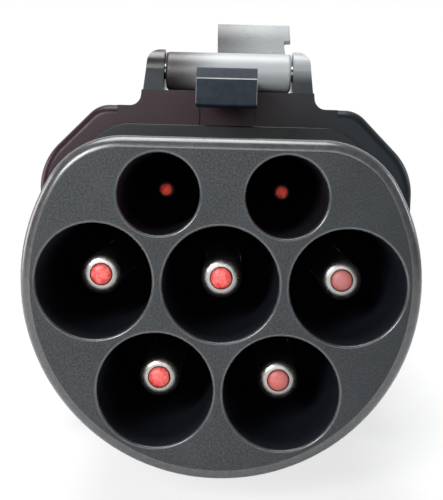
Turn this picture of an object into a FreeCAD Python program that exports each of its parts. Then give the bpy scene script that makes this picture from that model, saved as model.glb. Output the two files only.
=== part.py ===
import FreeCAD, Part
import math
import os
import Sketcher
from FreeCAD import Rotation, Vector

# Seven-pin charging adapter: a D-shaped plug nose with a sprung hook latch at the front,
# a round-bottomed housing, and a D-shaped inlet with seven pins at the rear.
# Millimetres. +Z is up, the nose points to -Y, +X is to the right seen from the front.
# The origin is under the middle of the adapter, on the surface it rests on.

DRIVING_SIZES = [
    ("overall_length", 140.0, "nose face to inlet rim"),
    ("fit_gap", 0.15, "gap between moulded parts that nest"),
    ("cut_margin", 1.0, "how far a cutting outline reaches past the solid"),
    ("nose_radius", 27.75, "round of the D nose"),
    ("nose_flat", 20.5, "flat of the D above the earth pin"),
    ("nose_corner", 10.0, "corner between flat and round"),
    ("nose_edge", 1.6, "rounding of the nose's front edge"),
    ("nose_length", 36.5, "nose face to collar"),
    ("inlet_length", 36.0, "inlet face to groove floor"),
    ("inlet_recess", 2.0, "inlet face behind the rim"),
    ("middle_pitch", 17.8, "earth pin to line and neutral pins"),
    ("lower_offset", 8.9, "lower pins from the centre line"),
    ("lower_drop", 15.3, "lower pins below the earth pin"),
    ("signal_offset", 8.94, "signal pins from the centre line"),
    ("signal_rise", 12.43, "signal pins above the earth pin"),
    ("power_cup_radius", 8.2, "cup round a power pin"),
    ("signal_cup_radius", 5.75, "cup round a signal pin"),
    ("cup_depth", 32.0, "depth of every cup"),
    ("cup_rim", 0.35, "rounding of the cups' rims"),
    ("plate_margin", 2.4, "how far a pin plate stands out round its block"),
    ("gasket_thickness", 1.0, "gasket between pin plate and lip"),
    ("plate_thickness", 4.0, "plate that holds the pins"),
    ("power_pin_radius", 3.0, "power pins"),
    ("signal_pin_radius", 1.5, "signal pins"),
    ("pin_fit_gap", 0.05, "gap round a pin in its block"),
    ("earth_tip_depth", 7.0, "earth pin tip behind the face"),
    ("power_tip_depth", 8.0, "other power pin tips behind the face"),
    ("signal_tip_depth", 16.0, "signal pin tips behind the face"),
    ("power_tip_round", 1.0, "rounding of a power pin's tip"),
    ("signal_tip_round", 0.4, "rounding of a signal pin's tip"),
    ("pin_root_step", 0.3, "thicker root of a pin inside its block"),
    ("pin_collar_step", 1.1, "collar that a plate traps"),
    ("pin_collar_thickness", 2.0, "length of that collar"),
    ("power_crimp_radius", 4.0, "crimp barrel of a power pin"),
    ("signal_crimp_radius", 2.2, "crimp barrel of a signal pin"),
    ("crimp_length", 9.0, "length of a crimp barrel"),
    ("crimp_wall", 1.0, "wall of a crimp barrel"),
    ("crimp_bore_depth", 7.0, "how far a wire goes in"),
    ("power_cap_radius", 1.55, "red cap of a power pin"),
    ("signal_cap_radius", 0.95, "red cap of a signal pin"),
    ("cap_stem", 4.0, "stem of a cap inside its pin"),
    ("cap_dome", 0.5, "how far a cap stands out"),
    ("power_wire_radius", 2.9, "insulated power wire"),
    ("signal_wire_radius", 1.3, "insulated signal wire"),
    ("board_thickness", 1.6, "coding board"),
    ("board_half_width", 12.6, "coding board"),
    ("board_half_height", 2.9, "coding board"),
    ("board_corner", 1.0, "coding board"),
    ("resistor_length", 6.5, "coding resistor"),
    ("resistor_radius", 1.2, "coding resistor"),
    ("resistor_edge", 0.4, "rounding of the resistor's ends"),
    ("lead_radius", 0.3, "leads of the resistor"),
    ("spacer_radius", 24.6, "spacer tube between the plates"),
    ("spacer_flat", 18.6, "flat of the spacer tube"),
    ("spacer_wall", 1.6, "wall of the spacer tube"),
    ("side_room", 0.65, "between a pin plate and the sides of the housing"),
    ("top_room", 0.7, "between a pin plate and the top of the housing"),
    ("shoulder_run", 9.8, "slant between top and side, measured across"),
    ("shoulder_drop", 12.5, "slant between top and side, measured down"),
    ("belly_corner", 25.0, "lower corners of the housing"),
    ("side_corner", 4.0, "rounding at the side"),
    ("shoulder_corner", 5.0, "rounding at the top"),
    ("wall", 2.4, "wall of the housings"),
    ("lip_thickness", 4.0, "lip that a pin plate seats on"),
    ("collar_growth", 3.0, "collar round the nose's root"),
    ("collar_step", 2.5, "collar's height off the housing"),
    ("collar_edge", 0.8, "rounding of the collar's front edge"),
    ("front_housing_length", 35.0, "front housing behind its face"),
    ("housing_edge", 1.6, "rounding of the front housing's face"),
    ("seal_gap", 1.2, "seal between the two housings"),
    ("seal_inset", 0.7, "seal's outline inside the housing's"),
    ("spigot_length", 10.0, "tongue of the rear housing"),
    ("spigot_wall", 2.0, "wall of that tongue"),
    ("groove_width", 4.2, "groove round the inlet block"),
    ("shell_wall", 2.8, "shell round the groove"),
    ("base_wall", 1.65, "shell under the groove, where the adapter stands on it"),
    ("shell_corner", 15.0, "corner of the shell's D"),
    ("shell_bevel", 2.2, "bevel where the shell begins"),
    ("shell_rim", 0.8, "rounding of the shell's rim"),
    ("grip_first", 8.0, "first grip groove behind the face"),
    ("grip_pitch", 4.0, "grip grooves"),
    ("grip_count", 5.0, "grip grooves on a side"),
    ("grip_width", 1.6, "grip groove"),
    ("grip_depth", 0.9, "grip groove"),
    ("grip_low", -9.0, "lower end of the grip grooves"),
    ("grip_high", 11.0, "upper end of the grip grooves"),
    ("hinge_depth", 46.0, "lever's hinge behind the nose face"),
    ("hinge_height", 7.1, "lever's hinge above the housing"),
    ("barrel_radius", 3.5, "lever's barrel"),
    ("barrel_half", 11.4, "half length of the barrel"),
    ("hinge_pin_radius", 1.5, "steel hinge pin"),
    ("hinge_pin_bevel", 0.3, "bevel of the hinge pin's ends"),
    ("hinge_running_gap", 0.05, "hinge pin in the barrel"),
    ("hinge_hold_gap", 0.02, "hinge pin in the ears"),
    ("ear_gap", 0.3, "barrel to ear"),
    ("ear_width", 3.9, "ear at its top"),
    ("ear_lean", 1.0, "how far an ear spreads to its foot"),
    ("ear_splay", 1.2, "the same in the side view"),
    ("ear_round", 2.6, "top corner of an ear"),
    ("ear_foot", 2.0, "fillet at an ear's foot"),
    ("ear_length", 13.0, "ears and pedestal, front to back"),
    ("pedestal_height", 3.2, "pedestal between the ears, above the housing"),
    ("channel_height", 1.2, "floor of the arm's channel, above the housing"),
    ("channel_gap", 0.3, "arm's channel wider than the arm"),
    ("channel_mark", 0.5, "shallow recess below the channel"),
    ("arm_half_width", 4.7, "lever's arm and hook"),
    ("hook_reach", 30.0, "hook's front before the hinge"),
    ("hook_length", 5.4, "hook, front to back"),
    ("hook_drop", 7.7, "hook's edge below the hinge"),
    ("arm_top_drop", 1.7, "arm's top below the hinge"),
    ("arm_thickness", 3.4, "lever's arm"),
    ("arm_corner", 0.6, "inner corner between arm and hook"),
    ("arm_heel", 4.9, "where the arm's underside turns up, before the hinge"),
    ("arm_heel_rise", 0.5, "how much higher that heel is than the underside"),
    ("arm_heel_round", 1.2, "rounding of that heel"),
    ("hook_bevel", 2.0, "height of the bevel at the hook's top edge"),
    ("hook_bevel_run", 1.2, "how far that bevel runs back"),
    ("hook_edge", 0.4, "small bevel of the hook's lower edge"),
    ("tab_curve", 26.2, "radius of the thumb tab's face"),
    ("tab_thickness", 2.4, "thumb tab"),
    ("tab_centre_rise", 29.45, "centre of the tab's curve above the hinge"),
    ("tab_centre_back", -1.28, "centre of the tab's curve behind the hinge"),
    ("tab_end_slope", 46.0, "slope at the tab's end, degrees"),
    ("tab_right", 12.25, "right edge of the tab"),
    ("tab_left", -2.45, "left edge of the tab"),
    ("neck_right", 10.9, "right edge of the tab's neck"),
    ("notch_start", 13.0, "notch shoulder behind the hinge"),
    ("notch_round", 0.6, "corner of the notch"),
    ("neck_root", 3.6, "neck's root behind the hinge"),
    ("neck_flare", 2.2, "fillet at the neck's left root"),
    ("spring_back", 11.0, "spring's axis behind the hinge"),
    ("spring_side", 4.9, "spring's axis to the right"),
    ("spring_radius", 2.5, "spring coil to the wire's centre"),
    ("spring_wire", 0.4, "radius of the spring's wire"),
    ("spring_turns", 4.0, "turns of the spring"),
    ("spring_cup_radius", 3.4, "cup that holds the spring"),
    ("spring_cup_wall", 1.1, "wall of that cup"),
    ("spring_cup_height", 1.6, "height of that cup"),
    ("spring_cup_sink", 0.6, "cup's floor below the housing's top"),
    ("spring_post_radius", 3.3, "post under the tab"),
    ("spring_post_low", 1.6, "post's end above the hinge"),
    ("side_screw_high", 8.0, "side screws above and below the earth pin"),
    ("side_screw_back", 5.0, "side screws before the housing joint"),
    ("side_screw_boss", 2.9, "radius of a side screw's boss"),
    ("side_screw_boss_length", 4.6, "side screw's boss inside the tongue"),
    ("screw_radius", 1.25, "all screws"),
    ("screw_fit_gap", 0.05, "gap round a screw"),
    ("screw_head_radius", 2.3, "all screw heads"),
    ("screw_head_height", 1.5, "all screw heads"),
    ("screw_socket_radius", 1.15, "hexagon socket, across corners"),
    ("screw_socket_depth", 0.9, "hexagon socket"),
    ("side_screw_length", 6.4, "side screw below its head"),
    ("plate_screw_length", 11.0, "plate screw below its head"),
    ("plate_screw_x", 17.0, "plate screws from the centre line"),
    ("plate_screw_z", 11.5, "plate screws above and below the earth pin"),
]


class Size:
    """A length with its value and the sheet expression that it comes from."""

    def __init__(self, value, text):
        self.value = float(value)
        self.text = text

    def __add__(self, other):
        other = as_size(other)
        return Size(self.value + other.value, "(%s + %s)" % (self.text, other.text))

    def __sub__(self, other):
        other = as_size(other)
        return Size(self.value - other.value, "(%s - %s)" % (self.text, other.text))

    def __mul__(self, other):
        other = as_size(other)
        return Size(self.value * other.value, "(%s * %s)" % (self.text, other.text))

    def __truediv__(self, other):
        other = as_size(other)
        return Size(self.value / other.value, "(%s / %s)" % (self.text, other.text))

    def __neg__(self):
        return Size(-self.value, "(-1 * %s)" % self.text)


def as_size(item):
    """A plain number as a Size; a Size as it is."""
    if isinstance(item, Size):
        return item
    return Size(item, "(%.6f)" % item)


def root(square):
    """Square root of a Size."""
    return Size(math.sqrt(square.value), "sqrt(%s)" % square.text)


doc = FreeCAD.newDocument("ChargingAdapter")
sheet = doc.addObject("Spreadsheet::Sheet", "Sizes")


class Driving:
    """The sheet's sizes by name."""


for row, (alias, number, note) in enumerate(DRIVING_SIZES, start=1):
    sheet.set("A%d" % row, alias)
    sheet.set("B%d" % row, repr(number))
    sheet.setAlias("B%d" % row, alias)
    sheet.set("C%d" % row, note)
    setattr(Driving, alias, Size(number, "Sizes." + alias))
doc.recompute()
S = Driving
ZERO = as_size(0)


# Sketch helpers

def new_body(name):
    """A PartDesign body that becomes the node of that name."""
    body = doc.addObject("PartDesign::Body", name)
    body.Label = name
    return body


def sketch_on(body, role, name, offset=None):
    """A sketch on one of the body's own planes, moved along its normal by a size."""
    plane = next(item for item in body.Origin.OriginFeatures if item.Role == role)
    sketch = body.newObject("Sketcher::SketchObject", name)
    sketch.AttachmentSupport = [(plane, "")]
    sketch.MapMode = "FlatFace"
    if offset is not None:
        sketch.setExpression("AttachmentOffset.Base.z", offset.text)
    return sketch


def across(body, name, depth=ZERO):
    """A sketch across the adapter at a depth behind the body's own face."""
    return sketch_on(body, "XZ_Plane", name, -as_size(depth))


def pin_down(sketch, kind, places, amount):
    """A constraint whose value is a Size."""
    amount = as_size(amount)
    index = sketch.addConstraint(Sketcher.Constraint(kind, *places, amount.value))
    sketch.setExpression("Constraints[%d]" % index, amount.text)


def pin_point(sketch, geometry, position, x, z):
    """Fixes a point of the sketch at two sizes from its origin."""
    pin_down(sketch, "DistanceX", (-1, 1, geometry, position), x)
    pin_down(sketch, "DistanceY", (-1, 1, geometry, position), z)


def add_circle(sketch, x, z, radius):
    """A circle of the sketch, fixed by its centre and radius."""
    x, z, radius = as_size(x), as_size(z), as_size(radius)
    circle = Part.Circle(Vector(x.value, z.value, 0), Vector(0, 0, 1), radius.value)
    index = sketch.addGeometry(circle, False)
    pin_point(sketch, index, 3, x, z)
    pin_down(sketch, "Radius", (index,), radius)


def add_short_arc(sketch, centre, radius, first, second):
    """An arc under half a turn; gives its index and which of its ends the two points are."""
    turn = (first - centre).cross(second - centre).z
    start, end = (first, second) if turn > 0 else (second, first)
    angles = [math.atan2(spot.y - centre.y, spot.x - centre.x) for spot in (start, end)]
    if angles[1] < angles[0]:
        angles[1] += 2 * math.pi
    circle = Part.Circle(centre, Vector(0, 0, 1), radius)
    arc = sketch.addGeometry(Part.ArcOfCircle(circle, angles[0], angles[1]), False)
    return (arc, 1, 2) if turn > 0 else (arc, 2, 1)


def add_outline(sketch, corners):
    """A closed outline through (x, z, rounding) corners; a rounding of 0 is a sharp corner."""
    sharp = [Vector(as_size(x).value, as_size(z).value, 0) for x, z, _ in corners]
    count = len(corners)
    leave, arrive, centres = [], [], []
    for index, (x, z, rounding) in enumerate(corners):
        rounding = as_size(rounding)
        back = (sharp[index - 1] - sharp[index]).normalize()
        ahead = (sharp[(index + 1) % count] - sharp[index]).normalize()
        if rounding.value == 0:
            arrive.append(sharp[index])
            leave.append(sharp[index])
            centres.append(None)
            continue
        half = back.getAngle(ahead) / 2
        reach = rounding.value / math.tan(half)
        centre = sharp[index] + (back + ahead).normalize() * (rounding.value / math.sin(half))
        arrive.append(sharp[index] + back * reach)
        leave.append(sharp[index] + ahead * reach)
        centres.append(centre)
    lines = []
    for index in range(count):
        line = Part.LineSegment(leave[index], arrive[(index + 1) % count])
        lines.append(sketch.addGeometry(line, False))
    for index, (x, z, rounding) in enumerate(corners):
        before, after = lines[index - 1], lines[index]
        if centres[index] is None:
            sketch.addConstraint(Sketcher.Constraint("Coincident", before, 2, after, 1))
            pin_point(sketch, after, 1, x, z)
            continue
        arc, first, last = add_short_arc(
            sketch, centres[index], as_size(rounding).value, arrive[index], leave[index])
        sketch.addConstraint(Sketcher.Constraint("Tangent", before, 2, arc, first))
        sketch.addConstraint(Sketcher.Constraint("Tangent", arc, last, after, 1))
        pin_down(sketch, "Radius", (arc,), rounding)
        vertex = sketch.addGeometry(Part.Point(sharp[index]), True)
        sketch.addConstraint(Sketcher.Constraint("PointOnObject", vertex, 1, before))
        sketch.addConstraint(Sketcher.Constraint("PointOnObject", vertex, 1, after))
        pin_point(sketch, vertex, 1, x, z)


def add_d_outline(sketch, radius, flat, corner):
    """A D: a round of one radius about the earth pin, a flat above it and rounded corners."""
    high = flat - corner
    side = root((radius - corner) * (radius - corner) - high * high)
    stretch = radius / (radius - corner)
    touch = Vector(side.value * stretch.value, high.value * stretch.value, 0)
    mirror = Vector(-touch.x, touch.y, 0)
    lowest = Vector(0, -radius.value, 0)
    big = sketch.addGeometry(Part.Arc(mirror, lowest, touch), False)
    top = sketch.addGeometry(
        Part.LineSegment(Vector(side.value, flat.value, 0), Vector(-side.value, flat.value, 0)),
        False)
    lean = Vector(side.value, high.value, 0).normalize()
    halfway = (lean + Vector(0, 1, 0)).normalize() * corner.value
    centre = Vector(side.value, high.value, 0)
    right_arc = Part.Arc(touch, centre + halfway, Vector(side.value, flat.value, 0))
    flipped = Vector(-halfway.x, halfway.y, 0)
    left_arc = Part.Arc(
        Vector(-side.value, flat.value, 0), Vector(-centre.x, centre.y, 0) + flipped, mirror)
    right = sketch.addGeometry(right_arc, False)
    left = sketch.addGeometry(left_arc, False)
    sketch.addConstraint(Sketcher.Constraint("Coincident", big, 3, -1, 1))
    sketch.addConstraint(Sketcher.Constraint("Tangent", big, 2, right, 1))
    sketch.addConstraint(Sketcher.Constraint("Tangent", right, 2, top, 1))
    sketch.addConstraint(Sketcher.Constraint("Tangent", top, 2, left, 1))
    sketch.addConstraint(Sketcher.Constraint("Tangent", left, 2, big, 1))
    sketch.addConstraint(Sketcher.Constraint("Horizontal", top))
    pin_down(sketch, "Radius", (big,), radius)
    pin_down(sketch, "Radius", (right,), corner)
    pin_down(sketch, "Radius", (left,), corner)
    pin_down(sketch, "DistanceY", (-1, 1, top, 1), flat)


# Feature helpers

def finish_feature(body, feature):
    """Recomputes the body with its newest feature as the tip."""
    body.Tip = feature
    doc.recompute()
    return feature


def pad(body, sketch, length, name, towards_back=True):
    """Adds the sketch's outline, away from the body's face unless told otherwise."""
    feature = body.newObject("PartDesign::Pad", name)
    feature.Profile = sketch
    feature.setExpression("Length", as_size(length).text)
    feature.Reversed = towards_back
    return finish_feature(body, feature)


def pocket(body, sketch, length, name, towards_back=True):
    """Cuts the sketch's outline; the volume has to fall, or the cut missed the solid."""
    before = body.Shape.Volume
    feature = body.newObject("PartDesign::Pocket", name)
    feature.Profile = sketch
    feature.setExpression("Length", as_size(length).text)
    feature.Reversed = not towards_back
    finish_feature(body, feature)
    if body.Shape.Volume >= before:
        raise RuntimeError("%s cuts nothing from %s" % (name, body.Label))
    return feature


def pocket_both(body, sketch, length, name):
    """Cuts the sketch's outline to both sides of its plane."""
    before = body.Shape.Volume
    feature = body.newObject("PartDesign::Pocket", name)
    feature.Profile = sketch
    feature.SideType = "Symmetric"
    feature.setExpression("Length", as_size(length).text)
    finish_feature(body, feature)
    if body.Shape.Volume >= before:
        raise RuntimeError("%s cuts nothing from %s" % (name, body.Label))
    return feature


def pad_both(body, sketch, length, name):
    """Adds the sketch's outline to both sides of its plane."""
    feature = body.newObject("PartDesign::Pad", name)
    feature.Profile = sketch
    feature.SideType = "Symmetric"
    feature.setExpression("Length", as_size(length).text)
    return finish_feature(body, feature)


def revolve(body, sketch, name):
    """A full turn of the sketch about its own upright axis."""
    feature = body.newObject("PartDesign::Revolution", name)
    feature.Profile = sketch
    feature.ReferenceAxis = (sketch, ["V_Axis"])
    feature.Angle = 360.0
    return finish_feature(body, feature)


def dress(body, kind, name, amount, wanted):
    """A fillet or chamfer on the edges of the body that the test picks."""
    base = body.Tip
    names = ["Edge%d" % (number + 1) for number, edge in enumerate(base.Shape.Edges) if wanted(edge)]
    if not names:
        raise RuntimeError("%s finds no edge on %s" % (name, body.Label))
    feature = body.newObject("PartDesign::" + kind, name)
    feature.Base = (base, names)
    feature.setExpression("Radius" if kind == "Fillet" else "Size", as_size(amount).text)
    return finish_feature(body, feature)


def in_plane(edge, depth):
    """True for an edge that lies in one plane across the adapter."""
    box = edge.BoundBox
    return abs(box.YMin - depth) < 1e-4 and abs(box.YMax - depth) < 1e-4


def place(item, x, y, z, turned=False):
    """Puts an item at three sizes; a turned one faces the other way."""
    turn = 180 if turned else 0
    item.Placement = FreeCAD.Placement(Vector(0, 0, 0), Rotation(Vector(0, 0, 1), turn))
    for axis, amount in (("x", x), ("y", y), ("z", z)):
        item.setExpression("Placement.Base." + axis, as_size(amount).text)


# Places that several pieces share

FRONT_FACE = -(S.overall_length / 2)
REAR_RIM = S.overall_length / 2
INLET_FACE = REAR_RIM - S.inlet_recess
PLUG_SEAT = S.nose_length + S.collar_step + S.lip_thickness
INLET_SEAT = S.inlet_length + S.lip_thickness
HOUSING_FACE = S.nose_length + S.collar_step
FRONT_HOUSING_END = HOUSING_FACE + S.front_housing_length
REAR_HOUSING_START = FRONT_HOUSING_END + S.seal_gap
REAR_HOUSING_LENGTH = S.overall_length - REAR_HOUSING_START
SHELL_LENGTH = S.inlet_recess + S.inlet_length + S.lip_thickness
GROOVE_DEPTH = S.inlet_recess + S.inlet_length
SHELL_BORE = S.nose_radius + S.groove_width
SHELL_BORE_FLAT = S.nose_flat + S.groove_width
AXIS_HEIGHT = SHELL_BORE + S.base_wall
HOUSING_SIDE = S.nose_radius + S.plate_margin + S.side_room + S.wall
HOUSING_TOP = S.nose_flat + S.plate_margin + S.top_room + S.wall
HINGE_RISE = HOUSING_TOP + S.hinge_height
PEDESTAL_TOP = HOUSING_TOP + S.pedestal_height
CHANNEL_FLOOR = HOUSING_TOP + S.channel_height

POWER_SPOTS = {
    "earth": (ZERO, ZERO),
    "neutral": (-S.middle_pitch, ZERO),
    "line1": (S.middle_pitch, ZERO),
    "line2": (-S.lower_offset, -S.lower_drop),
    "line3": (S.lower_offset, -S.lower_drop),
}
SIGNAL_SPOTS = {
    "sense": (-S.signal_offset, S.signal_rise),
    "pilot": (S.signal_offset, S.signal_rise),
}
ENDS = {
    "plug": {"seat": PLUG_SEAT, "face": FRONT_FACE, "turned": False},
    "inlet": {"seat": INLET_SEAT, "face": INLET_FACE, "turned": True},
}


def block_length(end):
    """Face to back of a block."""
    return end["seat"] + S.gasket_thickness


def plate_back(end):
    """Face to the inner side of a pin plate."""
    return block_length(end) + S.plate_thickness


def place_at_end(item, end, x=ZERO, z=ZERO):
    """Puts an item in one end's own frame: the face's middle, depths going inwards."""
    side = -as_size(x) if end["turned"] else as_size(x)
    place(item, side, end["face"], AXIS_HEIGHT + z, end["turned"])


# Contact blocks, gaskets and pin plates

def make_block(name, end):
    """D block with a cup round each pin, bores for the pins and screw holes at its back."""
    body = new_body(name)
    outline = across(body, name + "_outline")
    add_d_outline(outline, S.nose_radius, S.nose_flat, S.nose_corner)
    pad(body, outline, block_length(end), name + "_nose")
    dress(body, "Fillet", name + "_front_edge", S.nose_edge, lambda edge: in_plane(edge, 0))
    cups = across(body, name + "_cup_circles")
    for x, z in POWER_SPOTS.values():
        add_circle(cups, x, z, S.power_cup_radius)
    for x, z in SIGNAL_SPOTS.values():
        add_circle(cups, x, z, S.signal_cup_radius)
    pocket(body, cups, S.cup_depth, name + "_cups")
    dress(body, "Fillet", name + "_cup_rims", S.cup_rim,
          lambda edge: in_plane(edge, 0) and hasattr(edge.Curve, "Radius")
          and edge.Curve.Radius < S.nose_corner.value - S.nose_edge.value)
    bores = across(body, name + "_bore_circles")
    add_pin_circles(bores)
    pocket(body, bores, block_length(end), name + "_bores")
    holes = across(body, name + "_screw_circles", block_length(end))
    add_plate_screw_circles(holes, S.screw_radius + S.screw_fit_gap)
    depth = S.plate_screw_length - S.plate_thickness + S.screw_radius
    pocket(body, holes, depth, name + "_screw_holes", towards_back=False)
    place_at_end(body, end)
    return body


def add_plate_screw_circles(sketch, radius):
    """The four screw places of a pin plate."""
    for x in (-S.plate_screw_x, S.plate_screw_x):
        for z in (-S.plate_screw_z, S.plate_screw_z):
            add_circle(sketch, x, z, radius)


def add_pin_circles(sketch, extra=ZERO):
    """Clearance circles round the roots of the seven pins."""
    gap = S.pin_root_step + S.pin_fit_gap + extra
    for x, z in POWER_SPOTS.values():
        add_circle(sketch, x, z, S.power_pin_radius + gap)
    for x, z in SIGNAL_SPOTS.values():
        add_circle(sketch, x, z, S.signal_pin_radius + gap)


def make_gasket(name, end):
    """Flat D ring between a pin plate and the housing's lip."""
    body = new_body(name)
    ring = across(body, name + "_ring", end["seat"])
    add_d_outline(ring, S.nose_radius + S.plate_margin, S.nose_flat + S.plate_margin,
                  S.nose_corner + S.plate_margin)
    add_d_outline(ring, S.nose_radius + S.fit_gap, S.nose_flat + S.fit_gap,
                  S.nose_corner + S.fit_gap)
    pad(body, ring, S.gasket_thickness, name + "_pad")
    place_at_end(body, end)
    return body


def make_plate(name, end):
    """Plate that traps the pins' collars and pulls its block and gasket against the lip."""
    body = new_body(name)
    outline = across(body, name + "_outline", block_length(end))
    add_d_outline(outline, S.nose_radius + S.plate_margin, S.nose_flat + S.plate_margin,
                  S.nose_corner + S.plate_margin)
    pad(body, outline, S.plate_thickness, name + "_pad")
    collars = across(body, name + "_collar_circles", block_length(end))
    add_pin_circles(collars, S.pin_collar_step)
    pocket(body, collars, S.pin_collar_thickness, name + "_collar_seats")
    holes = across(body, name + "_holes", block_length(end))
    add_pin_circles(holes)
    add_plate_screw_circles(holes, S.screw_radius + S.screw_fit_gap)
    pocket(body, holes, S.plate_thickness, name + "_through_holes")
    place_at_end(body, end)
    return body


# Pins, caps and wires

def pin_sizes(kind, spot):
    """The sizes in which power and signal pins differ."""
    if kind == "signal":
        return {"radius": S.signal_pin_radius, "tip": S.signal_tip_depth,
                "root": S.signal_pin_radius + S.pin_root_step,
                "round": S.signal_tip_round, "cap": S.signal_cap_radius,
                "crimp": S.signal_crimp_radius, "wire": S.signal_wire_radius}
    tip = S.earth_tip_depth if spot == "earth" else S.power_tip_depth
    return {"radius": S.power_pin_radius, "tip": tip, "round": S.power_tip_round,
            "root": S.power_pin_radius + S.pin_root_step,
            "cap": S.power_cap_radius, "crimp": S.power_crimp_radius,
            "wire": S.power_wire_radius}


def crimp_start(end, kind):
    """Depth at which a crimp barrel begins; signal pins pass the coding board first."""
    return plate_back(end) + (S.board_thickness if kind == "signal" else ZERO)


def make_pin(name, end, kind, spot, x, z):
    """Turned contact pin: bored tip, collar in its seat and a crimp barrel at the back."""
    own = pin_sizes(kind, spot)
    collar = block_length(end)
    start = crimp_start(end, kind)
    back = start + S.crimp_length
    bore = own["crimp"] - S.crimp_wall
    body = new_body(name)
    profile = sketch_on(body, "XY_Plane", name + "_profile")
    add_outline(profile, [
        (own["cap"], own["tip"], 0),
        (own["radius"], own["tip"], own["round"]),
        (own["radius"], S.cup_depth, 0),
        (own["root"], S.cup_depth, 0),
        (own["root"], collar, 0),
        (own["root"] + S.pin_collar_step, collar, 0),
        (own["root"] + S.pin_collar_step, collar + S.pin_collar_thickness, 0),
        (own["root"], collar + S.pin_collar_thickness, 0),
        (own["root"], start, 0),
        (own["crimp"], start, 0),
        (own["crimp"], back, 0),
        (bore, back, 0),
        (bore, back - S.crimp_bore_depth, 0),
        (0, back - S.crimp_bore_depth, 0),
        (0, own["tip"] + S.cap_stem, 0),
        (own["cap"], own["tip"] + S.cap_stem, 0),
    ])
    revolve(body, profile, name + "_turned")
    place_at_end(body, end, x, z)
    return body


def make_cap(name, end, kind, spot, x, z):
    """Finger-safe plastic cap: a stem in the pin's bore with a rounded end."""
    own = pin_sizes(kind, spot)
    body = new_body(name)
    profile = sketch_on(body, "XY_Plane", name + "_profile")
    add_outline(profile, [
        (0, own["tip"] - S.cap_dome, 0),
        (own["cap"], own["tip"] - S.cap_dome, S.cap_dome),
        (own["cap"], own["tip"] + S.cap_stem, 0),
        (0, own["tip"] + S.cap_stem, 0),
    ])
    revolve(body, profile, name + "_moulded")
    place_at_end(body, end, x, z)
    return body


def make_wire(name, kind, spot, x, z):
    """Insulated wire between the two crimp barrels, stripped at both ends."""
    own = pin_sizes(kind, spot)
    core = own["crimp"] - S.crimp_wall
    front = crimp_start(ENDS["plug"], kind) + S.crimp_length
    back = (S.overall_length - S.inlet_recess) - (
        crimp_start(ENDS["inlet"], kind) + S.crimp_length)
    body = new_body(name)
    profile = sketch_on(body, "XY_Plane", name + "_profile")
    stop = S.crimp_bore_depth
    add_outline(profile, [
        (0, front - stop, 0),
        (core, front - stop, 0),
        (core, front, 0),
        (own["wire"], front, 0),
        (own["wire"], back, 0),
        (core, back, 0),
        (core, back + stop, 0),
        (0, back + stop, 0),
    ])
    revolve(body, profile, name + "_drawn")
    place_at_end(body, ENDS["plug"], x, z)
    return body


# Coding board and resistor on the back of the plug's pin plate

def make_board():
    """Small circuit board that the two signal pins pass through."""
    body = new_body("coding_board")
    face = plate_back(ENDS["plug"])
    outline = across(body, "board_outline", face)
    low = S.signal_rise - S.board_half_height
    high = S.signal_rise + S.board_half_height
    add_outline(outline, [
        (-S.board_half_width, low, S.board_corner), (S.board_half_width, low, S.board_corner),
        (S.board_half_width, high, S.board_corner), (-S.board_half_width, high, S.board_corner),
    ])
    for x, z in SIGNAL_SPOTS.values():
        add_circle(outline, x, z, S.signal_pin_radius + S.pin_root_step + S.pin_fit_gap)
    pad(body, outline, S.board_thickness, "board_pad")
    place_at_end(body, ENDS["plug"])
    return body


def make_resistor():
    """Resistor lying across the board on its two leads."""
    face = plate_back(ENDS["plug"]) + S.board_thickness
    axis = face + S.resistor_radius + S.lead_radius
    body = new_body("coding_resistor")
    round_body = sketch_on(body, "YZ_Plane", "resistor_circle")
    add_circle(round_body, axis, S.signal_rise, S.resistor_radius)
    pad_both(body, round_body, S.resistor_length, "resistor_body")
    dress(body, "Fillet", "resistor_ends", S.resistor_edge,
          lambda edge: abs(edge.BoundBox.XMax - edge.BoundBox.XMin) < 1e-4)
    reach = S.resistor_length / 2 - S.lead_radius * 3
    leads = across(body, "resistor_lead_circles", face)
    for x in (-reach, reach):
        add_circle(leads, x, S.signal_rise, S.lead_radius)
    pad(body, leads, axis - face, "resistor_leads")
    place_at_end(body, ENDS["plug"])
    return body


# Housings

def housing_corners(inset):
    """Corners of the housing's section, moved inwards by a size."""
    inset = as_size(inset)
    run, drop = S.shoulder_run, S.shoulder_drop
    slant = root(run * run + drop * drop)
    side = HOUSING_SIDE - inset
    side_up = HOUSING_TOP - drop - inset * (slant - drop) / run
    top = HOUSING_TOP - inset
    top_out = HOUSING_SIDE - run - inset * (slant - run) / drop
    base = -(AXIS_HEIGHT - inset)
    return [
        (-side, base, S.belly_corner - inset), (side, base, S.belly_corner - inset),
        (side, side_up, S.side_corner), (top_out, top, S.shoulder_corner),
        (-top_out, top, S.shoulder_corner), (-side, side_up, S.side_corner),
    ]


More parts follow.
